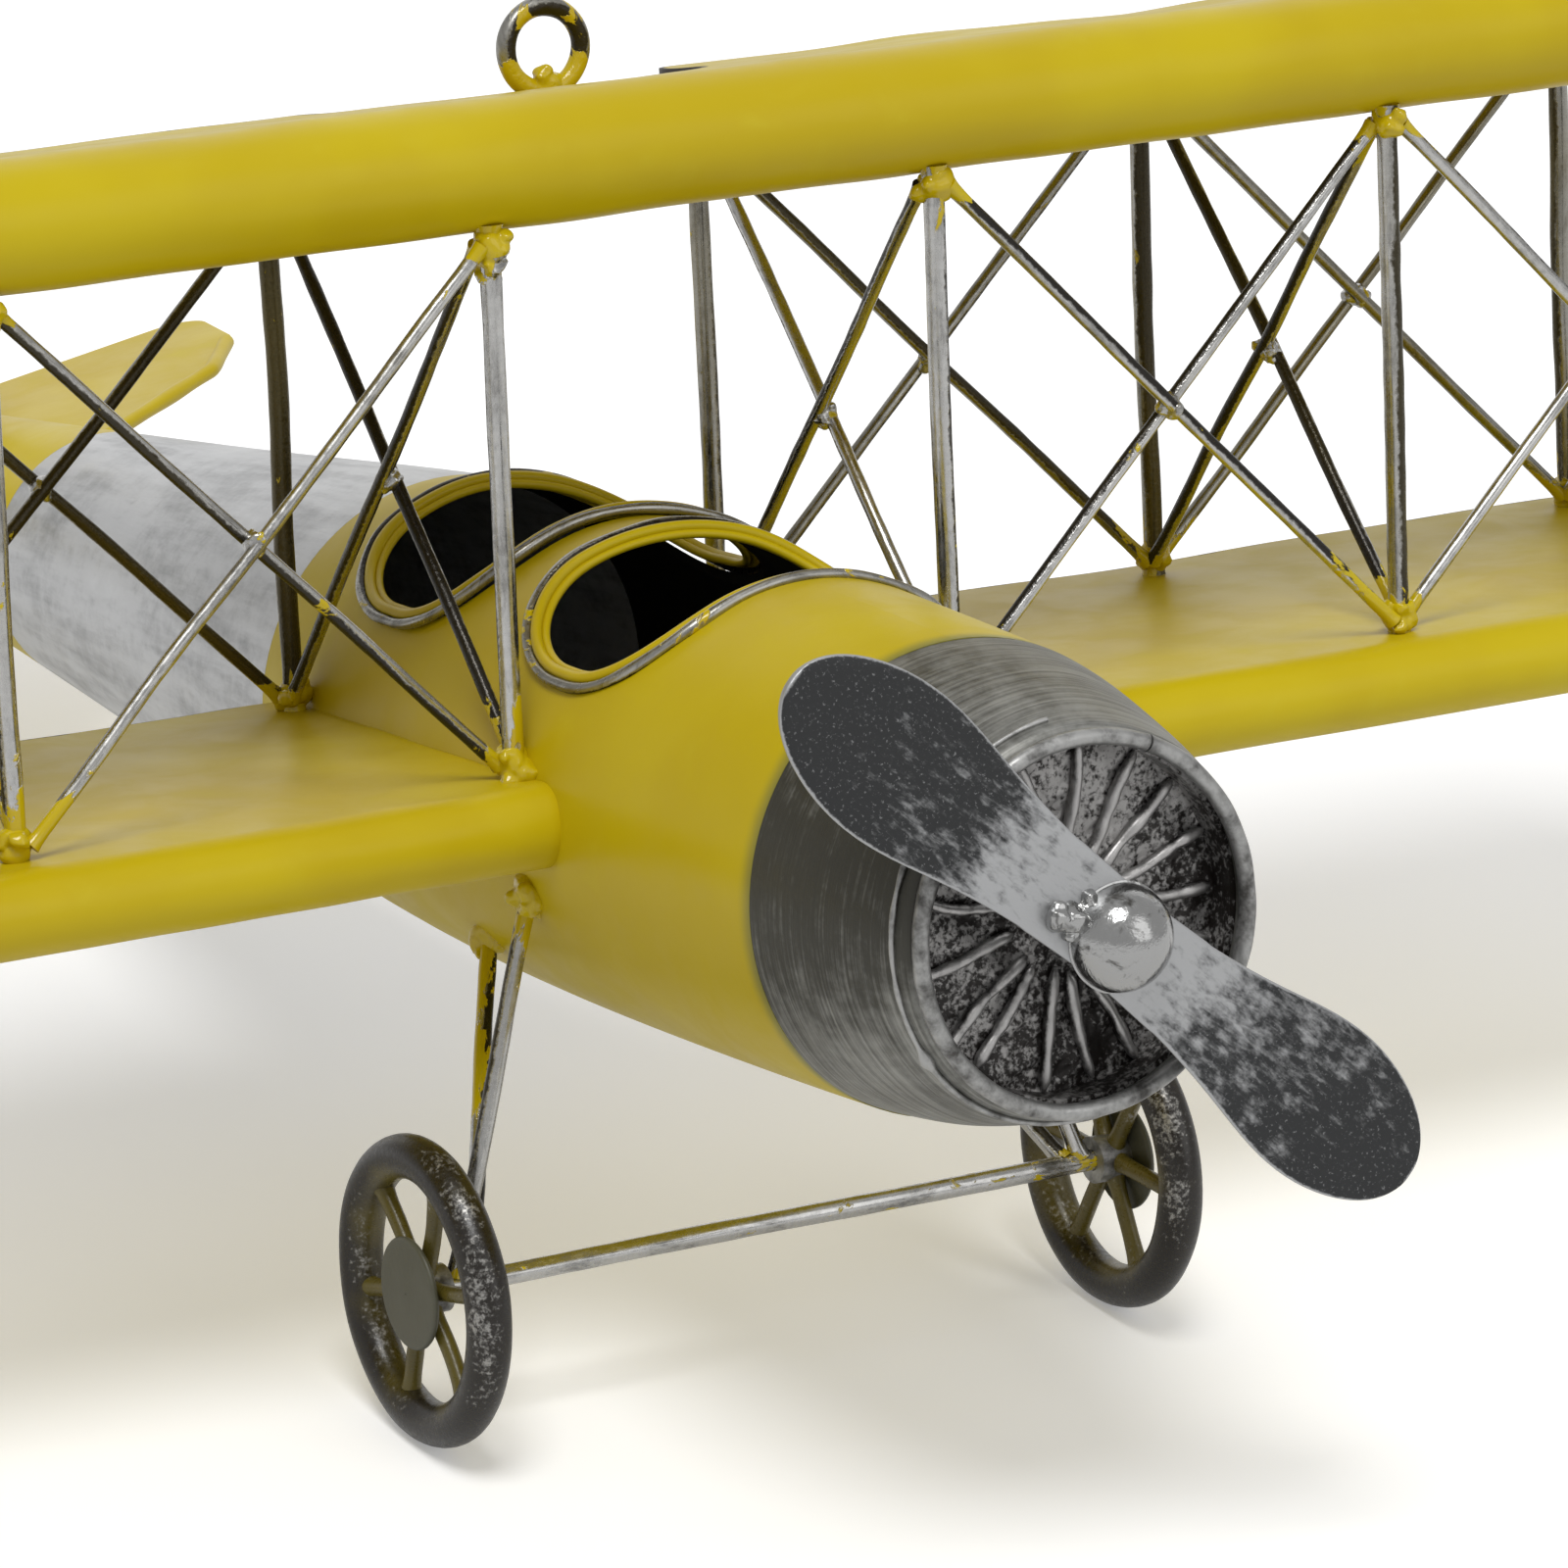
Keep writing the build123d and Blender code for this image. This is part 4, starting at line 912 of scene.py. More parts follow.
middle_x = root[:, None] * np.linspace(-1, 1, 28)[1:-1]
upper_x = np.hstack([-half_x[:, ::-1], middle_x, half_x])
level_points = np.stack(np.broadcast_arrays(upper_x, upper_y[:, None], upper_z[:, None]), axis=-1)
flat_part = np.clip(upper_y / 0.03, 0, 1)[:, None]
level_points[..., 2] += 0.00028 * flat_part * ripple(level_points, 0.055, 41)
level_points[..., 2] += 0.00010 * ripple(level_points, 0.02, 42)
level_points[..., 2] += 0.0008 * (np.clip(upper_y, 0, None)[:, None] / TRAILING_Y) ** 2
rows, columns = upper_x.shape
quads = grid_faces(rows, columns, wrap_columns=False).reshape(rows - 1, columns - 1, 4)
keep = np.ones((rows - 1, columns - 1), bool)
half = len(half_share)
keep[np.searchsorted(upper_y[48:], CUT_FRONT - 1e-9) + 48:, half - 1:columns - half] = False
upper_skin = add_sheet("upper_wing_skin", stand(level_points), quads[keep], yellow_sheet, "yellow_paint",
                       stands_for=("upper_wing",), wear_reach=0.0022)
print("upper wing:", len(upper_skin.data.polygons), "faces")

# %% [markdown]
# ### Lower wings
# Each lower wing butts on the fuselage's side. Its root follows the distance at which the
# section's height meets the hull's circle, so the sheet ends on the skin.

# %% Lower wings, trimmed to the fuselage
ROLL_LOW_Y = -0.005
lower_y, lower_z = wing_section(ROLL_LOW_Y, -0.006, 0.006, radians(1.2), [TRAILING_Y])
lift = (lower_z + 0.0075 - AXIS_RISE * lower_y) / np.hypot(1, AXIS_RISE)
hull_here = hull_radius(lower_y)
root = np.sqrt(hull_here**2 - lift**2) - 0.0002
tip = tip_reach(lower_y, -0.0119)
for side, sign in (("port", 1), ("starboard", -1)):
    x = sign * (root[:, None] + (tip - root)[:, None] * half_share)
    level_points = np.stack(np.broadcast_arrays(x, lower_y[:, None], lower_z[:, None]), axis=-1)
    flat_part = np.clip(lower_y / 0.03, 0, 1)[:, None]
    level_points[..., 2] += 0.00022 * flat_part * ripple(level_points, 0.05, 51 + sign)
    level_points[..., 2] += 0.00008 * ripple(level_points, 0.02, 52 + sign)
    quads = grid_faces(*x.shape, wrap_columns=False)
    quads = quads if sign > 0 else quads[:, ::-1]
    add_sheet(f"{side}_lower_wing_skin", stand(level_points), quads, yellow_sheet, "yellow_paint",
              stands_for=(f"{side}_lower_wing",), worn_from=0.037)

# %% [markdown]
# ## Cockpit edging
# Each cockpit has a rubbed wire laid on the cut edge of the shell, and inside it a yellow lip
# with two ridges. All follow the same closed line: a rounded rectangle on the skin as if
# unrolled, bent back towards the sides. A boolean cut would give no such soft beads.

# %% Cockpit lines
COCKPIT_HALF_WIDTH = 0.033
COCKPIT_CORNER = 0.0195
COCKPIT_SKIN = 0.034
COCKPITS = {"front": (-0.0206, 0.0207), "rear": (0.0299, 0.0722)}


def cockpit_line(first, last, inset, lift, count=280):
    """A rounded rectangle, round the skin by along it, bent back as 1.5·round² (lengths in metres).

    lift raises it from the fuselage's skin along the radius.
    """
    turn = np.linspace(0, 2 * pi, 4000, endpoint=False)
    corner = COCKPIT_CORNER - inset
    half_round, half_along = COCKPIT_HALF_WIDTH - inset - corner, (last - first) / 2 - inset - corner
    over = half_round * np.sign(np.cos(turn)) + corner * np.cos(turn)
    along = half_along * np.sign(np.sin(turn)) + corner * np.sin(turn)
    length = np.concatenate([[0], np.cumsum(np.hypot(np.diff(over, append=over[0]),
                                                     np.diff(along, append=along[0])))])
    place = np.linspace(0, length[-1], count, endpoint=False)
    over, along = (np.interp(place, length, np.append(one, one[0])) for one in (over, along))
    station = (first + last) / 2 + along - 1.5 * over**2
    return around_hull(station, hull_radius(station) + lift, pi / 2 - over / COCKPIT_SKIN)


for name, (first, last) in COCKPITS.items():
    seed, height = (300, 0.0005) if name == "front" else (340, 0.0011)
    flat_line = cockpit_line(first, last, 0.0006, 0.0)
    lift = height + 0.00025 * ripple(flat_line, 0.03, seed)
    rim_line = cockpit_line(first, last, 0.0006, lift)
    thick = 0.00084 * (1 + 0.10 * ripple(rim_line, 0.012, seed + 1))
    paint = np.clip(0.16 + 0.22 * ripple(rim_line, 0.018, seed + 2), 0, 1)
    add_piece(f"{name}_cockpit_wire", tube(rim_line, thick, HULL_UP, 16, True, paint, seed),
              dark_wire_finish, "worn_wire", stands_for=(f"{name}_cockpit_rim",))
    ridges = []
    for inset, depth, size in ((0.0021, -0.0002, 0.00085), (0.0030, -0.0012, 0.00065)):
        ridge_lift = height + depth + 0.0002 * ripple(flat_line, 0.025, seed + 5)
        ridge_line = cockpit_line(first, last, inset, ridge_lift)
        ridges.append(tube(ridge_line, size * (1 + 0.06 * ripple(ridge_line, 0.015, seed + 3)), HULL_UP, 14,
                           True, 0.9, seed))
    lip = joined(ridges)
    lip["wear"] = 0.12 + 0.20 * ripple(lip["points"], 0.009, seed + 4)
    add_piece(f"{name}_cockpit_lip", lip, yellow_sheet, "yellow_paint")

# %% [markdown]
# ## Nose
# The cowl is a bulged sheet shell, brushed round and round. It is turned here as one closed
# outline about the fuselage axis, with soft dents, and a band of painted shade darkens its
# starboard side as a painted dark reflection. Turning keeps its mouth exactly round for the ring.

# %% Cowl
COWL_REAR, COWL_FRONT = -0.06005, -0.0898
COWL_RADII = (0.03245, 0.0298, 0.0262)
COWL_SHOULDER = -0.077
PAINTED_SHADE_ANGLE, PAINTED_SHADE_SPREAD = radians(168), radians(34)
LIP_STATION, LIP_RADIUS, LIP_WIRE = -0.0879, 0.02752, 0.00038
LIP_START, LIP_STOP, LIP_DROP = radians(96), radians(300), radians(214)


def arc_through(stations, radii, count):
    """Points of the circular arc through three points of an outline."""
    (ax, bx, cx), (ay, by, cy) = stations, radii
    d = 2 * (ax * (by - cy) + bx * (cy - ay) + cx * (ay - by))
    squares = [x * x + y * y for x, y in zip(stations, radii)]
    ux = (squares[0] * (by - cy) + squares[1] * (cy - ay) + squares[2] * (ay - by)) / d
    uy = (squares[0] * (cx - bx) + squares[1] * (ax - cx) + squares[2] * (bx - ax)) / d
    start, stop = np.arctan2(ay - uy, ax - ux), np.arctan2(cy - uy, cx - ux)
    turn = np.linspace(start, stop, count)
    size = np.hypot(ax - ux, ay - uy)
    return ux + size * np.cos(turn), uy + size * np.sin(turn)


def walled(station, radius, thickness):
    """A closed outline that runs along a line's outside and back along its inside."""
    run = np.stack([np.gradient(station), np.gradient(radius)], axis=1)
    run /= np.linalg.norm(run, axis=1)[:, None]
    normal = np.stack([-run[:, 1], run[:, 0]], axis=1) * thickness / 2
    outer = np.stack([station, radius], axis=1) + normal
    inner = np.stack([station, radius], axis=1) - normal
    loop = np.vstack([outer, inner[::-1]])
    return loop[:, 0], loop[:, 1]


cowl_s, cowl_r = arc_through((COWL_REAR, COWL_SHOULDER, COWL_FRONT), COWL_RADII, 40)
lip_s = np.full(5, COWL_FRONT - 0.0002)
lip_r = np.linspace(COWL_RADII[2] - 0.0006, 0.0248, 5)
outline = walled(np.concatenate([cowl_s, lip_s]), np.concatenate([cowl_r, lip_r]), SHEET)
cowl = lathe(*outline, dent=0.00012, dent_size=0.025, seed=61, steps=256)
cowl_turn = np.arctan2((cowl["points"] - AXIS_START) @ HULL_UP, cowl["points"] @ PORT)
from_side = np.angle(np.exp(1j * (cowl_turn - PAINTED_SHADE_ANGLE)))
# painted shade: the brushed metal is darkened in a band round the starboard side, standing in for a dark
# reflection
cowl["shade"] = 0.02 - 0.24 * np.exp(-(from_side / PAINTED_SHADE_SPREAD) ** 2)
print("cowl shade runs from", cowl["shade"].min().round(2), "to", cowl["shade"].max().round(2))
add_piece("brushed_cowl", cowl, cowl_finish, "antique_silver", stands_for=("engine_cowl",))

# %% [markdown]
# ## Lip wire
# A thin raised wire runs round the cowl just behind its mouth and ends in a drop of metal. It
# could be a scratch in a bump map, but it catches the light, so it is a tube laid on the skin.

# %% Lip wire
lip_turn = np.linspace(LIP_START, LIP_STOP, 200)
lip_path = around_hull(LIP_STATION, LIP_RADIUS + 0.00012 * np.sin(5 * lip_turn), lip_turn)
drop = np.exp(-((lip_turn - LIP_DROP) / 0.05) ** 2)
lip_wire = tube(lip_path, LIP_WIRE * (1 + 0.15 * ripple(lip_path, 0.006, 68) + 2.0 * drop), AFT, 12, seed=69)
lip_wire["shade"] = np.full(len(lip_wire["points"]), 0.06)
add_piece("cowl_lip_wire", lip_wire, ring_finish, "antique_silver")

# %% [markdown]
# ## Mouth ring
# One turn of wire closes the cowl's mouth, and its two ends meet in a butt joint. A closed
# ring would hide the joint, so the tube is left open by a hair and thickened where they meet.

# %% Mouth ring
RING_STATION, RING_RADIUS, RING_WIRE = -0.0914, 0.0252, 0.0012
JOINT_ANGLE = radians(66.0)
turn = JOINT_ANGLE + np.linspace(0.006, 2 * pi - 0.006, 320)
wander = 0.00012 * ripple(around_hull(0, RING_RADIUS, turn), 0.02, 62)
ring_path = around_hull(RING_STATION + wander, RING_RADIUS, turn)
from_joint = np.minimum(turn - turn[0], turn[-1] - turn)
ring_thick = RING_WIRE * (1 + 0.05 * ripple(ring_path, 0.006, 63) + 0.10 * np.exp(-from_joint / 0.05))
ring = tube(ring_path, ring_thick, AFT, 18, paint=0.0, seed=64)
ring["wear"] = 0.25 + 0.2 * ripple(ring["points"], 0.008, 65)
add_piece("cowl_mouth_ring", ring, ring_finish, "worn_wire", stands_for=("cowl_ring",))

# %% [markdown]
# ## Grille
# Behind the ring sits a rough casting with crooked cooling ribs, dry-brushed with silver. The
# relief is real geometry, because a low light shows it. The CAD ribs are evenly spaced, and
# each one near a rib of the real ornament is turned to that rib's angle.

# %% Grille and ribs
GRILLE_STATION = -0.084
disc_r = np.concatenate([np.linspace(0.0043, 0.0243, 46), [0.0246, 0.0246, 0.0043]])
disc_s = GRILLE_STATION - np.concatenate([np.full(46, 0.0006), [0.0004, 0.0, 0.0]])
angle = np.arange(256) * 2 * pi / 256
casting = around_hull(disc_s[:, None], disc_r[:, None], angle)
relief = 0.00022 * ripple(casting, 0.0045, 66) + 0.00012 * ripple(casting, 0.0016, 67)
front_rows = np.concatenate([np.ones(46), np.zeros(3)])[:, None]
casting = around_hull(disc_s[:, None] + relief * front_rows, disc_r[:, None], angle)
add_piece("grille_casting", turned_outward(shape(casting, grid_faces(49, 256, wrap_rows=True), wear=0.0)),
          casting_finish, "grille_metal")

RIB_ANGLES = np.radians([82, 61.5, 42, 21, 1.5, -16, -79, -99, -124.5, -140, -165.5, 167])
RIB_TURN_LIMIT = radians(10.5)
RIB_INNER, RIB_OUTER, RIB_WIRE = 0.0075, 0.0241, 0.00082
ribs = []
for number, points in enumerate(solids_of("cylinder_ribs")):
    inner_end, outer_end, _ = rod_of(points)
    random = np.random.default_rng(700 + number)
    axis_point = AXIS_START + (GRILLE_STATION - 0.0012) * AFT
    spoke = unit((inner_end + outer_end) / 2 - axis_point)
    lean = np.arctan2(spoke @ HULL_UP, spoke @ PORT)
    offsets = np.angle(np.exp(1j * (RIB_ANGLES - lean)))
    offset = offsets[np.argmin(np.abs(offsets))]
    lean += offset if abs(offset) < RIB_TURN_LIMIT else 0
    spoke = cos(lean) * PORT + sin(lean) * HULL_UP
    across = np.cross(AFT, spoke)
    rib_start = RIB_INNER + random.uniform(-0.0006, 0.0012)
    reach = np.linspace(rib_start, RIB_OUTER - random.uniform(0, 0.0009), 34)
    sway = 0.00045 * ripple(np.stack([reach, reach * 0, reach * 0], 1), 0.014, 720 + number)
    sway += random.uniform(-0.0005, 0.0005)
    path = axis_point + reach[:, None] * spoke + sway[:, None] * across
    ends = np.clip(np.minimum(np.arange(34), np.arange(34)[::-1]) / 2.5, 0.15, 1) ** 0.5
    thick = RIB_WIRE * ends * (1 + 0.16 * ripple(path, 0.0035, 740 + number))
    rib = tube(path, thick, AFT, 12, seed=number)
    front = -((rib["points"] - axis_point) @ AFT) / 0.0008
    rib["wear"] = np.clip(0.42 + 0.45 * front, 0, 1)
    ribs.append(rib)
rib_finish = brushed_sheet("rubbed_rib", (160, 160, 160), 0.55, (0.50, 0.49, 0.48, 1),
                           (0.020, 0.017, 0.015, 1), 0.12, 0.95)
add_piece("grille_ribs", joined(ribs), rib_finish, "grille_metal", stands_for=("cylinder_ribs",))

# %% [markdown]
# ## Propeller
# A blade sawn from sheet: its outline comes from the flat half of the CAD blade, its edge is
# filed round, and its upper half is bent five degrees back. The spinner is a polished dome
# with a blob of solder beside it.

# %% Blade, spinner and solder
BLADE_ANGLE = radians(138.3)
BLADE_BEND = radians(5.0)
BLADE_SIDES = 72
BEND_STARTS = 0.004
BOSS_REACH = 0.012


def square(value, power):
    """A sine or cosine flattened towards a square wave: its size raised to a power, its sign kept."""
    return np.sign(value) * np.abs(value) ** power


blade_points = merged("propeller")[0]
blade_along = cos(BLADE_ANGLE) * PORT + sin(BLADE_ANGLE) * HULL_UP
blade_across = np.cross(AFT, blade_along)
flat_half = blade_points[(blade_points - AXIS_START) @ blade_along < -BOSS_REACH]
flat_depth = (flat_half - AXIS_START) @ AFT
blade_centre = AXIS_START + (flat_depth.min() + flat_depth.max()) / 2 * AFT
blade_u, blade_v = (flat_half - AXIS_START) @ -blade_along, (flat_half - AXIS_START) @ blade_across
order = np.argsort(blade_u[blade_v >= 0])
outline_u = np.concatenate([[0, BOSS_REACH], blade_u[blade_v >= 0][order]])
outline_v = np.concatenate([[0.0064, 0.0070], blade_v[blade_v >= 0][order]])
blade_length = blade_u.max()
blade_half = float(np.ptp(flat_depth)) / 2
share = np.sin(np.linspace(-pi / 2, pi / 2, 150))[1:-1]
width = np.interp(np.abs(share) * blade_length, outline_u, outline_v)
turn = np.arange(BLADE_SIDES) * 2 * pi / BLADE_SIDES
across = width[:, None] * square(np.cos(turn), 0.55)
depth = blade_half * square(np.sin(turn), 0.5) * np.clip(width / 0.002, 0.05, 1)[:, None] ** 0.5
along = np.broadcast_to((share * blade_length)[:, None], across.shape)
flat_place = np.stack([along, across, np.zeros_like(along)], axis=-1)
bend = 0.00035 * ripple(flat_place, 0.05, 71) * np.abs(share)[:, None]
bent_back = tan(BLADE_BEND) * np.clip(along - BEND_STARTS, 0, None)
blade = (blade_centre + along[..., None] * blade_along + across[..., None] * blade_across
         + (depth + bend + bent_back)[..., None] * AFT)
poles = blade_centre + np.array([[-1], [1]]) * blade_length * blade_along
poles[1] += tan(BLADE_BEND) * (blade_length - BEND_STARTS) * AFT
count = share.size * BLADE_SIDES
caps = [*fan(count, 0, BLADE_SIDES, False), *fan(count + 1, count - BLADE_SIDES, BLADE_SIDES, True)]
to_edge = np.minimum(width[:, None] - np.abs(across), blade_length * (1 - np.abs(share))[:, None] * 0.7)
wear = np.concatenate([np.exp(-to_edge / 0.0007).ravel(), [1, 1]])
inner_glow = 0.34 * np.exp(-((along / 0.020) ** 2))
wear = np.clip(wear + np.concatenate([inner_glow.ravel(), [0, 0]]), 0, 1)
grain = np.concatenate([flat_place.reshape(-1, 3), [[-blade_length, 0, 0], [blade_length, 0, 0]]])
lower_half = np.clip(-along / 0.01, 0, 1)
shade = 0.24 * np.exp(-(((along - 0.005) / 0.023) ** 4)) - 0.15 * np.clip(along / 0.012 - 1.2, 0, 1)
shade -= lower_half * (0.03 + 0.14 * np.clip((-along - 0.038) / 0.014, 0, 1))
blade_shape = shape(np.vstack([blade.reshape(-1, 3), poles]),
                    [*grid_faces(share.size, BLADE_SIDES).tolist(), *caps], wear=wear, grain=grain,
                    shade=np.concatenate([shade.ravel(), [-0.16, -0.16]]))
add_piece("propeller_blade", turned_outward(blade_shape), blade_finish, "antique_silver",
          "propeller_assembly", ("propeller",))

spinner_points = merged("spinner")[0]
dome_radius = float(np.ptp(spinner_points[:, 0])) / 2
base_station = float(((spinner_points - AXIS_START) @ AFT).max())
tilt = np.linspace(0.02, pi / 2, 36)
dome_s = base_station - dome_radius * np.cos(tilt)
dome_r = dome_radius * np.sin(tilt)
dome_s = np.concatenate([dome_s, [base_station + 0.0001, base_station + 0.0001]])
dome_r = np.concatenate([dome_r, [dome_radius + 0.00025, 0.0003]])
add_piece("spinner_dome", lathe(dome_s, dome_r, 96, 0.00008, 0.007, 72), polished, "polished_steel",
          "propeller_assembly", ("spinner",), sharp=60)

solder_place = AXIS_START + (base_station - 0.0002) * AFT
solder = []
for number, (out, up, size) in enumerate([(0.0078, 0.0018, 0.0021), (0.0098, 0.0030, 0.0019),
                                          (0.0066, 0.0036, 0.0014), (0.0070, -0.0014, 0.0013)]):
    centre = solder_place + out * blade_along - up * blade_across
    solder.append(lump(centre, [size, size, size], 80 + number, 0.2))
solder_points, solder_faces = melted("solder", solder, 0.00016, 2)
add_piece("solder_blob", shape(solder_points, solder_faces), polished, "polished_steel",
          "propeller_assembly", sharp=180)

# %% [markdown]
# ## Hanging eye and wheels
# The eye and the wheel rims are rings of wire, so they are closed tubes. Spokes are worked
# rods with weld metal at both ends.

# %% Rings about an axis


def ring_line(centre, axis, radius, count, seed, wander):
    """A circle about an axis, a little out of true."""
    side = unit(np.cross(axis, [0.31, 0.52, 0.79]))
    other = np.cross(axis, side)
    turn = np.arange(count) * 2 * pi / count
    line = centre + radius * (np.cos(turn)[:, None] * side + np.sin(turn)[:, None] * other)
    return line + wander * ripple(line, radius * 1.6, seed)[:, None] * axis


eye_points = merged("hanging_eye")[0]
eye_centre = (eye_points.min(0) + eye_points.max(0)) / 2
eye_centre[2] = eye_points[:, 2].max() - float(np.ptp(eye_points[:, 0])) / 2
eye_normal = TIP_BACK @ [0, 1.0, 0]
eye_wire = np.abs((eye_points - eye_centre) @ eye_normal).max()
eye_radius = float(np.ptp(eye_points[:, 0])) / 2 - eye_wire
eye_line = ring_line(eye_centre, eye_normal, eye_radius, 120, 81, 0.00012)
below = np.clip((eye_centre[2] + 0.0008 - eye_line[:, 2]) / 0.006, 0, 1)
eye_paint = np.clip(0.30 + 0.75 * below + 0.22 * ripple(eye_line, 0.006, 82), 0, 1)
eye_thick = eye_wire * (1 + 0.05 * ripple(eye_line, 0.007, 83))
add_piece("hanging_eye_wire", tube(eye_line, eye_thick, eye_normal, 20, True, eye_paint, 84),
          dark_wire_finish, "worn_wire", stands_for=("hanging_eye",))

for side, sign in (("port", 1), ("starboard", -1)):
    body = f"{side}_wheel"
    rim_points = merged(f"{side}_wheel_rim")[0]
    centre = (rim_points.min(0) + rim_points.max(0)) / 2
    tube_radius = float(np.ptp(rim_points[:, 0])) / 2
    radius = float(np.ptp(rim_points[:, 1])) / 2 - tube_radius
    line = ring_line(centre, PORT, radius, 220, 90 + sign, 0.0001)
    thick = tube_radius * (0.985 + 0.012 * ripple(line, 0.012, 92 + sign))
    tyre = tube(line, thick, PORT, 28, True, 0.0, 94 + sign)
    inward = radius - np.linalg.norm((tyre["points"] - centre) * [0, 1, 1], axis=1)
    inner_paint = 0.18 + 0.34 * np.clip(inward / tube_radius, -0.3, 1)
    tyre["paint"] = np.clip(inner_paint + 0.16 * ripple(tyre["points"], 0.011, 96 + sign), 0, 1)
    from_line = tyre["points"] - line[np.repeat(np.arange(220), 28)]
    # painted highlight: the tyre's wear rises on the side facing the camera, over random rubbing
    toward = from_line @ unit(np.array([-0.45, -0.75, 0.45]))
    rubbed_and_painted_highlight = 0.34 * toward / tube_radius + 0.07 * ripple(tyre["points"], 0.01, 97)
    tyre["wear"] = np.clip(rubbed_and_painted_highlight - 0.10, 0, 1)
    add_piece(f"{side}_wheel_tyre", tyre, wheel_finish, "wheel_iron", body, (f"{side}_wheel_rim",))
    spokes = [worked_rod(*rod_of(points), 500 + 20 * sign + k, (0.004, 0.004), 0.0009)
              for k, points in enumerate(solids_of(f"{side}_wheel_spokes"))]
    for spoke in spokes:
        spoke["paint"] = np.clip(spoke["paint"] * 0.5 + 0.55, 0, 1)
        spoke["wear"] = 0.08 + 0.10 * ripple(spoke["points"], 0.006, 98)
    add_piece(f"{side}_wheel_spoke_wires", joined(spokes), wheel_finish, "wheel_iron", body,
              (f"{side}_wheel_spokes",))
    disc_points = merged(f"{side}_hub_disc")[0]
    disc_centre = (disc_points.min(0) + disc_points.max(0)) / 2
    disc_radius = float(np.ptp(disc_points[:, 1])) / 2
    tilt = np.linspace(-pi / 2, pi / 2, 9)
    profile_r = np.concatenate([[0.0001, 0.4 * disc_radius, 0.8 * disc_radius],
                                disc_radius - 0.0005 * (1 - np.cos(tilt)),
                                [0.8 * disc_radius, 0.4 * disc_radius, 0.0001]])
    profile_x = np.concatenate([[-0.5, -0.5, -0.5], 0.5 * np.sin(tilt), [0.55, 0.66, 0.7]]) * 0.001
    turn = np.arange(72) * 2 * pi / 72
    disc = np.stack(np.broadcast_arrays(
        disc_centre[0] + sign * profile_x[:, None], disc_centre[1] + profile_r[:, None] * np.cos(turn),
        disc_centre[2] + profile_r[:, None] * np.sin(turn)), axis=-1)
    add_piece(f"{side}_hub_cap", turned_outward(shape(disc, grid_faces(len(profile_r), 72, True))),
              hub_paint, "wheel_iron", body, (f"{side}_hub_disc",))

# %% [markdown]
# ### Axle
# One rod runs from wheel to wheel, with its ends hammered wide to hold them on.

# %% Axle
axle_low, axle_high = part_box("axle")
axle_y, axle_z = axle_standing[1], axle_standing[2]
axle_x = np.linspace(axle_low[0], axle_high[0], 240)
flow = np.stack([axle_x, axle_x * 0, axle_x * 0], axis=1)
bow = np.sin(pi * np.linspace(0, 1, 240)) * 0.00012
axle_sway, axle_lift = bow * ripple(flow, 0.05, 98), bow * ripple(flow, 0.05, 99)
axle_path = np.stack([axle_x, axle_y + axle_sway, axle_z + axle_lift], axis=1)
AXLE_WIRE, HEAD_STARTS, HEAD_EXTRA = 0.0015, 0.0553, 0.00085
headed = np.clip((np.abs(axle_x) - HEAD_STARTS) / 0.0003, 0, 1)
axle_thick = AXLE_WIRE * (1 + 0.02 * ripple(flow, 0.008, 97) * (1 - headed)) + HEAD_EXTRA * headed
inner_end = np.clip((np.abs(axle_x) - 0.046) / 0.004, 0, 1)
axle_paint = np.clip(0.14 + 0.12 * ripple(flow, 0.03, 95) + 0.25 * inner_end, 0, 1)
add_piece("axle_wire", tube(axle_path, axle_thick, np.array([0, 0, 1.0]), 18, paint=axle_paint, seed=96),
          wire_finish, "worn_wire", stands_for=("axle",))

# %% [markdown]
# ## Fuselage and tail
# The shells stay CAD solids, because their cut-outs are exact, and only take a finish. So do
# the small tail surfaces, which are flat sheet, and the small turned parts.

# %% Finishes for the CAD nodes that stay
finishes = {"fuselage_front": yellow_shell, "fuselage_rear": hull_finish, "tail_cone": yellow_sheet,
            "engine_backplate": casting_finish, "shaft_bush": casting_finish, "propeller_shaft": polished,
            "port_wheel_hub": ring_finish, "starboard_wheel_hub": ring_finish, "skid_shoe": ring_finish,
            "tail_skid": ring_finish, "tail_fin": yellow_sheet, "rudder": yellow_sheet,
            "port_tailplane": yellow_sheet, "starboard_tailplane": yellow_sheet}
for name, material in finishes.items():
    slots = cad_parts[name].material_slots
    for number in range(len(slots)):
        slots[number].material = material

# %% [markdown]
# ### Tailplane hems
# The front edge of each tailplane is folded over. A wire along the edge, with its corner
# smoothed by a running mean, gives the fold its roundness.

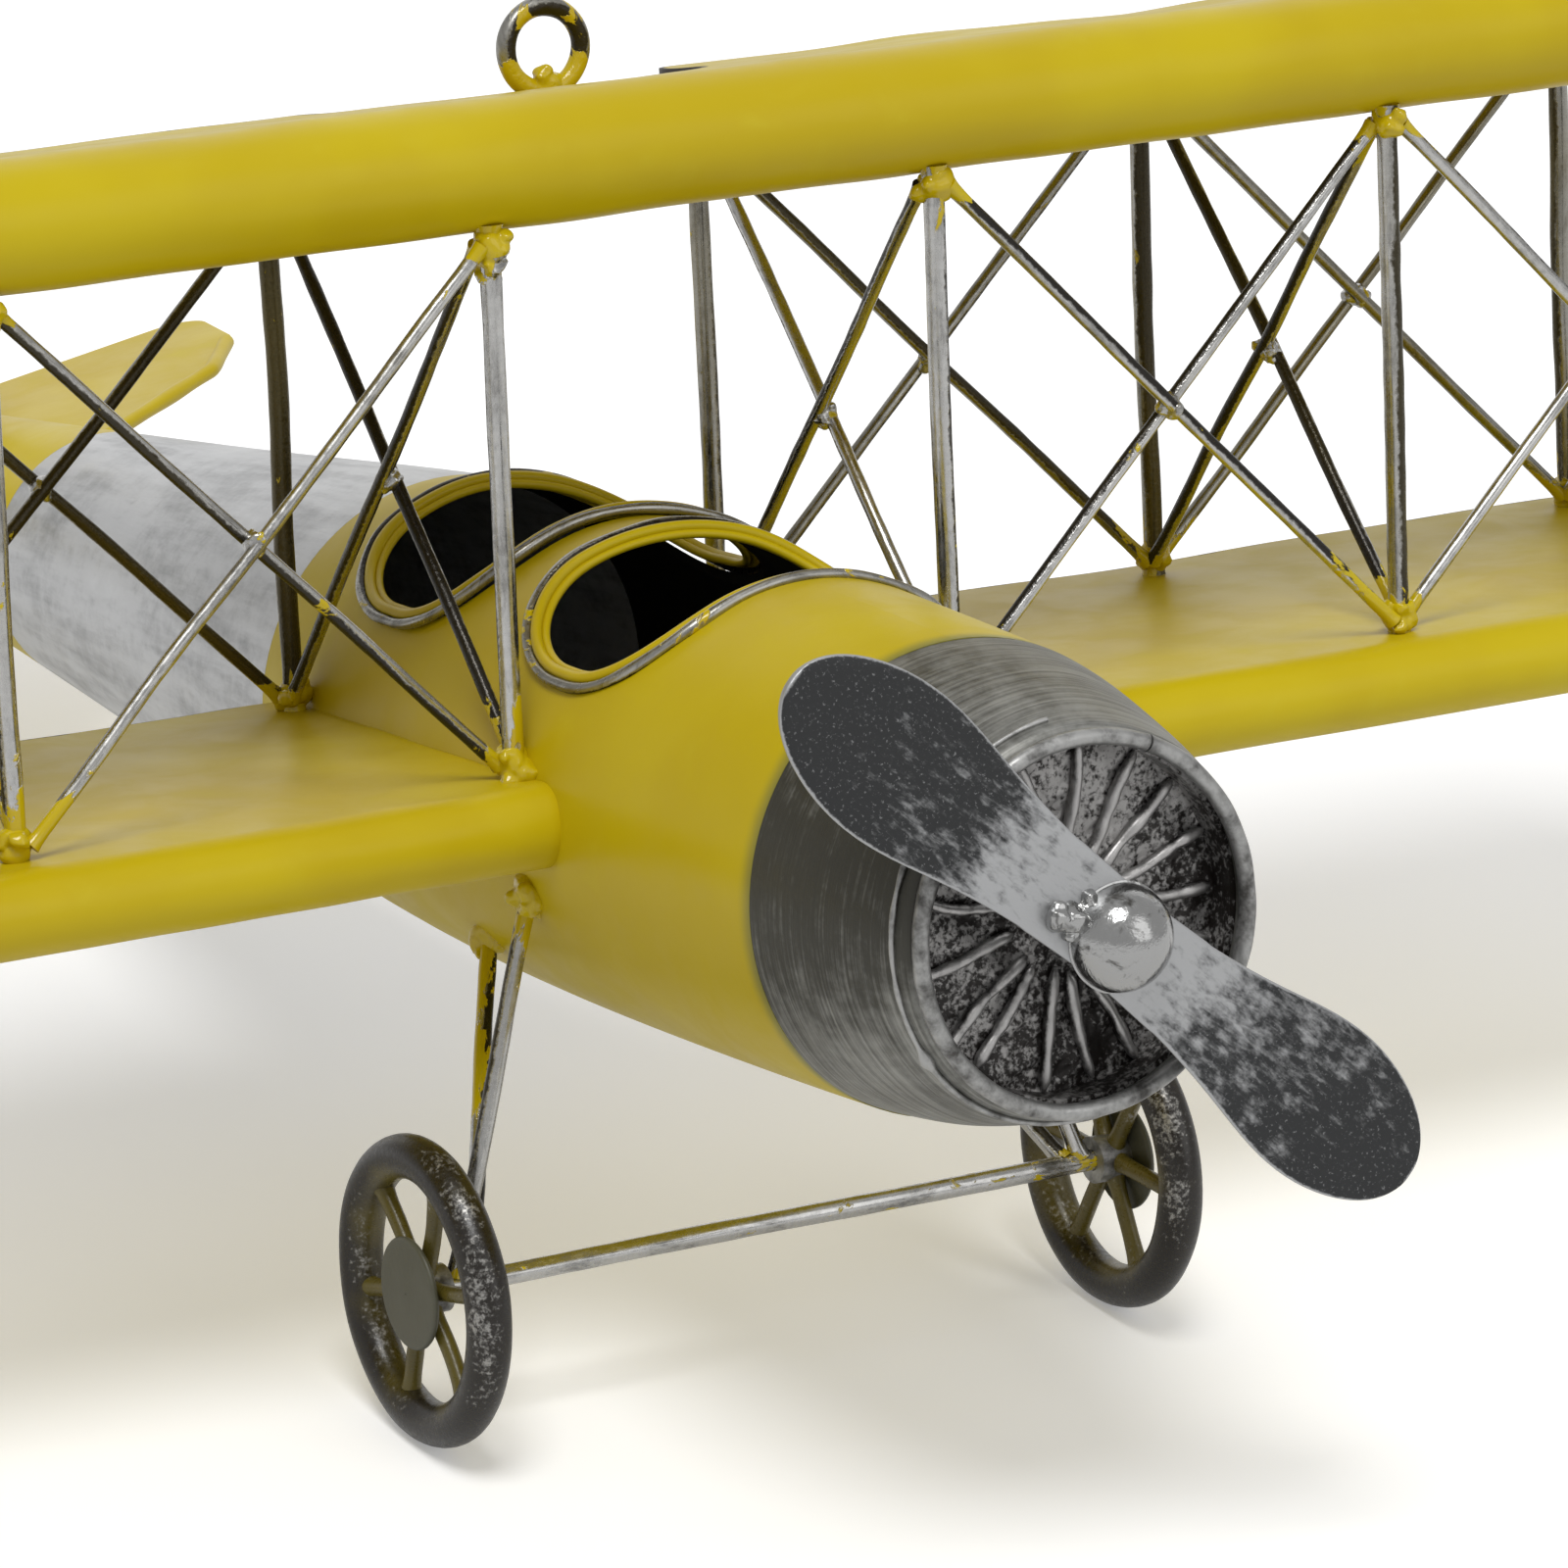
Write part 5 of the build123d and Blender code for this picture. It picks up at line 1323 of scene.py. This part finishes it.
# %% Tailplane hems
HEM_RISE = radians(10.6)
HEM_HEIGHT = 0.0176
HEM_STEPS = 90
hem_out = np.interp(np.linspace(0, 1, HEM_STEPS), [0, 0.62, 1], [0.006, 0.0415, 0.0538])
hem_aft = np.interp(hem_out, [0.0009, 0.042, 0.055], [0.2160, 0.2430, 0.2620])
hem_aft = np.convolve(np.pad(hem_aft, 6, "reflect", reflect_type="odd"), np.ones(13) / 13, "valid")
from_end = np.minimum(np.arange(HEM_STEPS), np.arange(HEM_STEPS)[::-1])
hem_ends = np.clip(from_end / 4, 0.2, 1) ** 0.5
for side, sign in (("port", 1), ("starboard", -1)):
    hem_x, hem_z = sign * hem_out * cos(HEM_RISE), HEM_HEIGHT + hem_out * sin(HEM_RISE)
    hem = np.stack([hem_x, hem_aft + 0.0006, hem_z], axis=1)
    hem_thick = 0.00125 * hem_ends * (1 + 0.05 * ripple(hem, 0.01, 110))
    add_piece(f"{side}_tailplane_hem", tube(stand(hem), hem_thick, HULL_UP, 14, paint=0.9, seed=111),
              yellow_sheet, "yellow_paint")

# %% [markdown]
# ## Floor, light and camera
# A pale floor, one soft light overhead, weaker ones in front and behind, and a camera
# with a long lens at the ornament's three-quarter view.

# %% Stage
floor_mesh = bpy.data.meshes.new("floor")
FLOOR_HALF = 20.0
corners = [(x * FLOOR_HALF, y * FLOOR_HALF, 0) for x, y in ((-1, -1), (1, -1), (1, 1), (-1, 1))]
floor_mesh.from_pydata(corners, [], [(0, 1, 2, 3)])
floor_material, tree, shader = new_material("pale_floor", Roughness=0.9, Emission_Strength=0.26)
seen = add_node(tree, "LightPath").outputs["Is Camera Ray"]
tree.links.new(blend_colour(tree, seen, (0.50, 0.50, 0.50, 1), (0.88, 0.88, 0.88, 1)),
               shader.inputs["Base Color"])
shader.inputs["Emission Color"].default_value = (1, 1, 1, 1)
floor_mesh.materials.append(floor_material)
floor = bpy.data.objects.new("floor", floor_mesh)
bpy.context.scene.collection.objects.link(floor)


def add_soft_sun(name, azimuth, elevation, angle, strength):
    """A broad, far light: azimuth is turned from straight ahead of the nose towards starboard."""
    lamp = bpy.data.lights.new(name, "SUN")
    lamp.energy, lamp.angle = strength, radians(angle)
    sun = bpy.data.objects.new(name, lamp)
    bpy.context.scene.collection.objects.link(sun)
    azimuth, elevation = radians(azimuth), radians(elevation)
    towards = Vector((-sin(azimuth) * cos(elevation), -cos(azimuth) * cos(elevation), sin(elevation)))
    sun.rotation_euler = (-towards).to_track_quat("-Z", "Y").to_euler()
    return sun


# name, azimuth, elevation and angle in degrees, strength
SUNS = [("overhead", 40, 68, 24, 1.6), ("front_fill", -25, 30, 40, 0.35), ("back_glow", 210, 16, 70, 0.5)]
for name, azimuth, elevation, angle, strength in SUNS:
    add_soft_sun(name, azimuth, elevation, angle, strength)

world = bpy.data.worlds.new("studio")
world.use_nodes = True
sky = world.node_tree
from_camera = add_node(sky, "LightPath").outputs["Is Camera Ray"]
sky.nodes["Background"].inputs["Color"].default_value = (1, 1, 1, 1)
sky.links.new(blend_value(sky, from_camera, 0.48, 0.93), sky.nodes["Background"].inputs["Strength"])
bpy.context.scene.world = world
bpy.context.scene.view_settings.view_transform = "Standard"

# %% [markdown]
# ### Camera
# A long lens, far away and turned a little, gives the nearly parallel three-quarter view.

# %% Camera
AZIMUTH, ELEVATION, ROLL = radians(30.55), radians(20.56), radians(2.36)
CAMERA_PLACE = (-0.6118, -1.1335, 0.5445)
look = Vector((sin(AZIMUTH) * cos(ELEVATION), cos(AZIMUTH) * cos(ELEVATION), -sin(ELEVATION)))
flat_right = Vector((cos(AZIMUTH), -sin(AZIMUTH), 0))
right = cos(ROLL) * flat_right + sin(ROLL) * flat_right.cross(look)
up = right.cross(look)
lens = bpy.data.cameras.new("camera")
lens.lens, lens.sensor_width = 211.66, 36.0
lens.shift_x, lens.shift_y = 0.0314, -0.0462
lens.clip_start, lens.clip_end = 0.05, 100
camera = bpy.data.objects.new("camera", lens)
bpy.context.scene.collection.objects.link(camera)
turned = Matrix((right, up, -look)).transposed().to_4x4()
camera.matrix_world = Matrix.Translation(CAMERA_PLACE) @ turned
bpy.context.scene.camera = camera
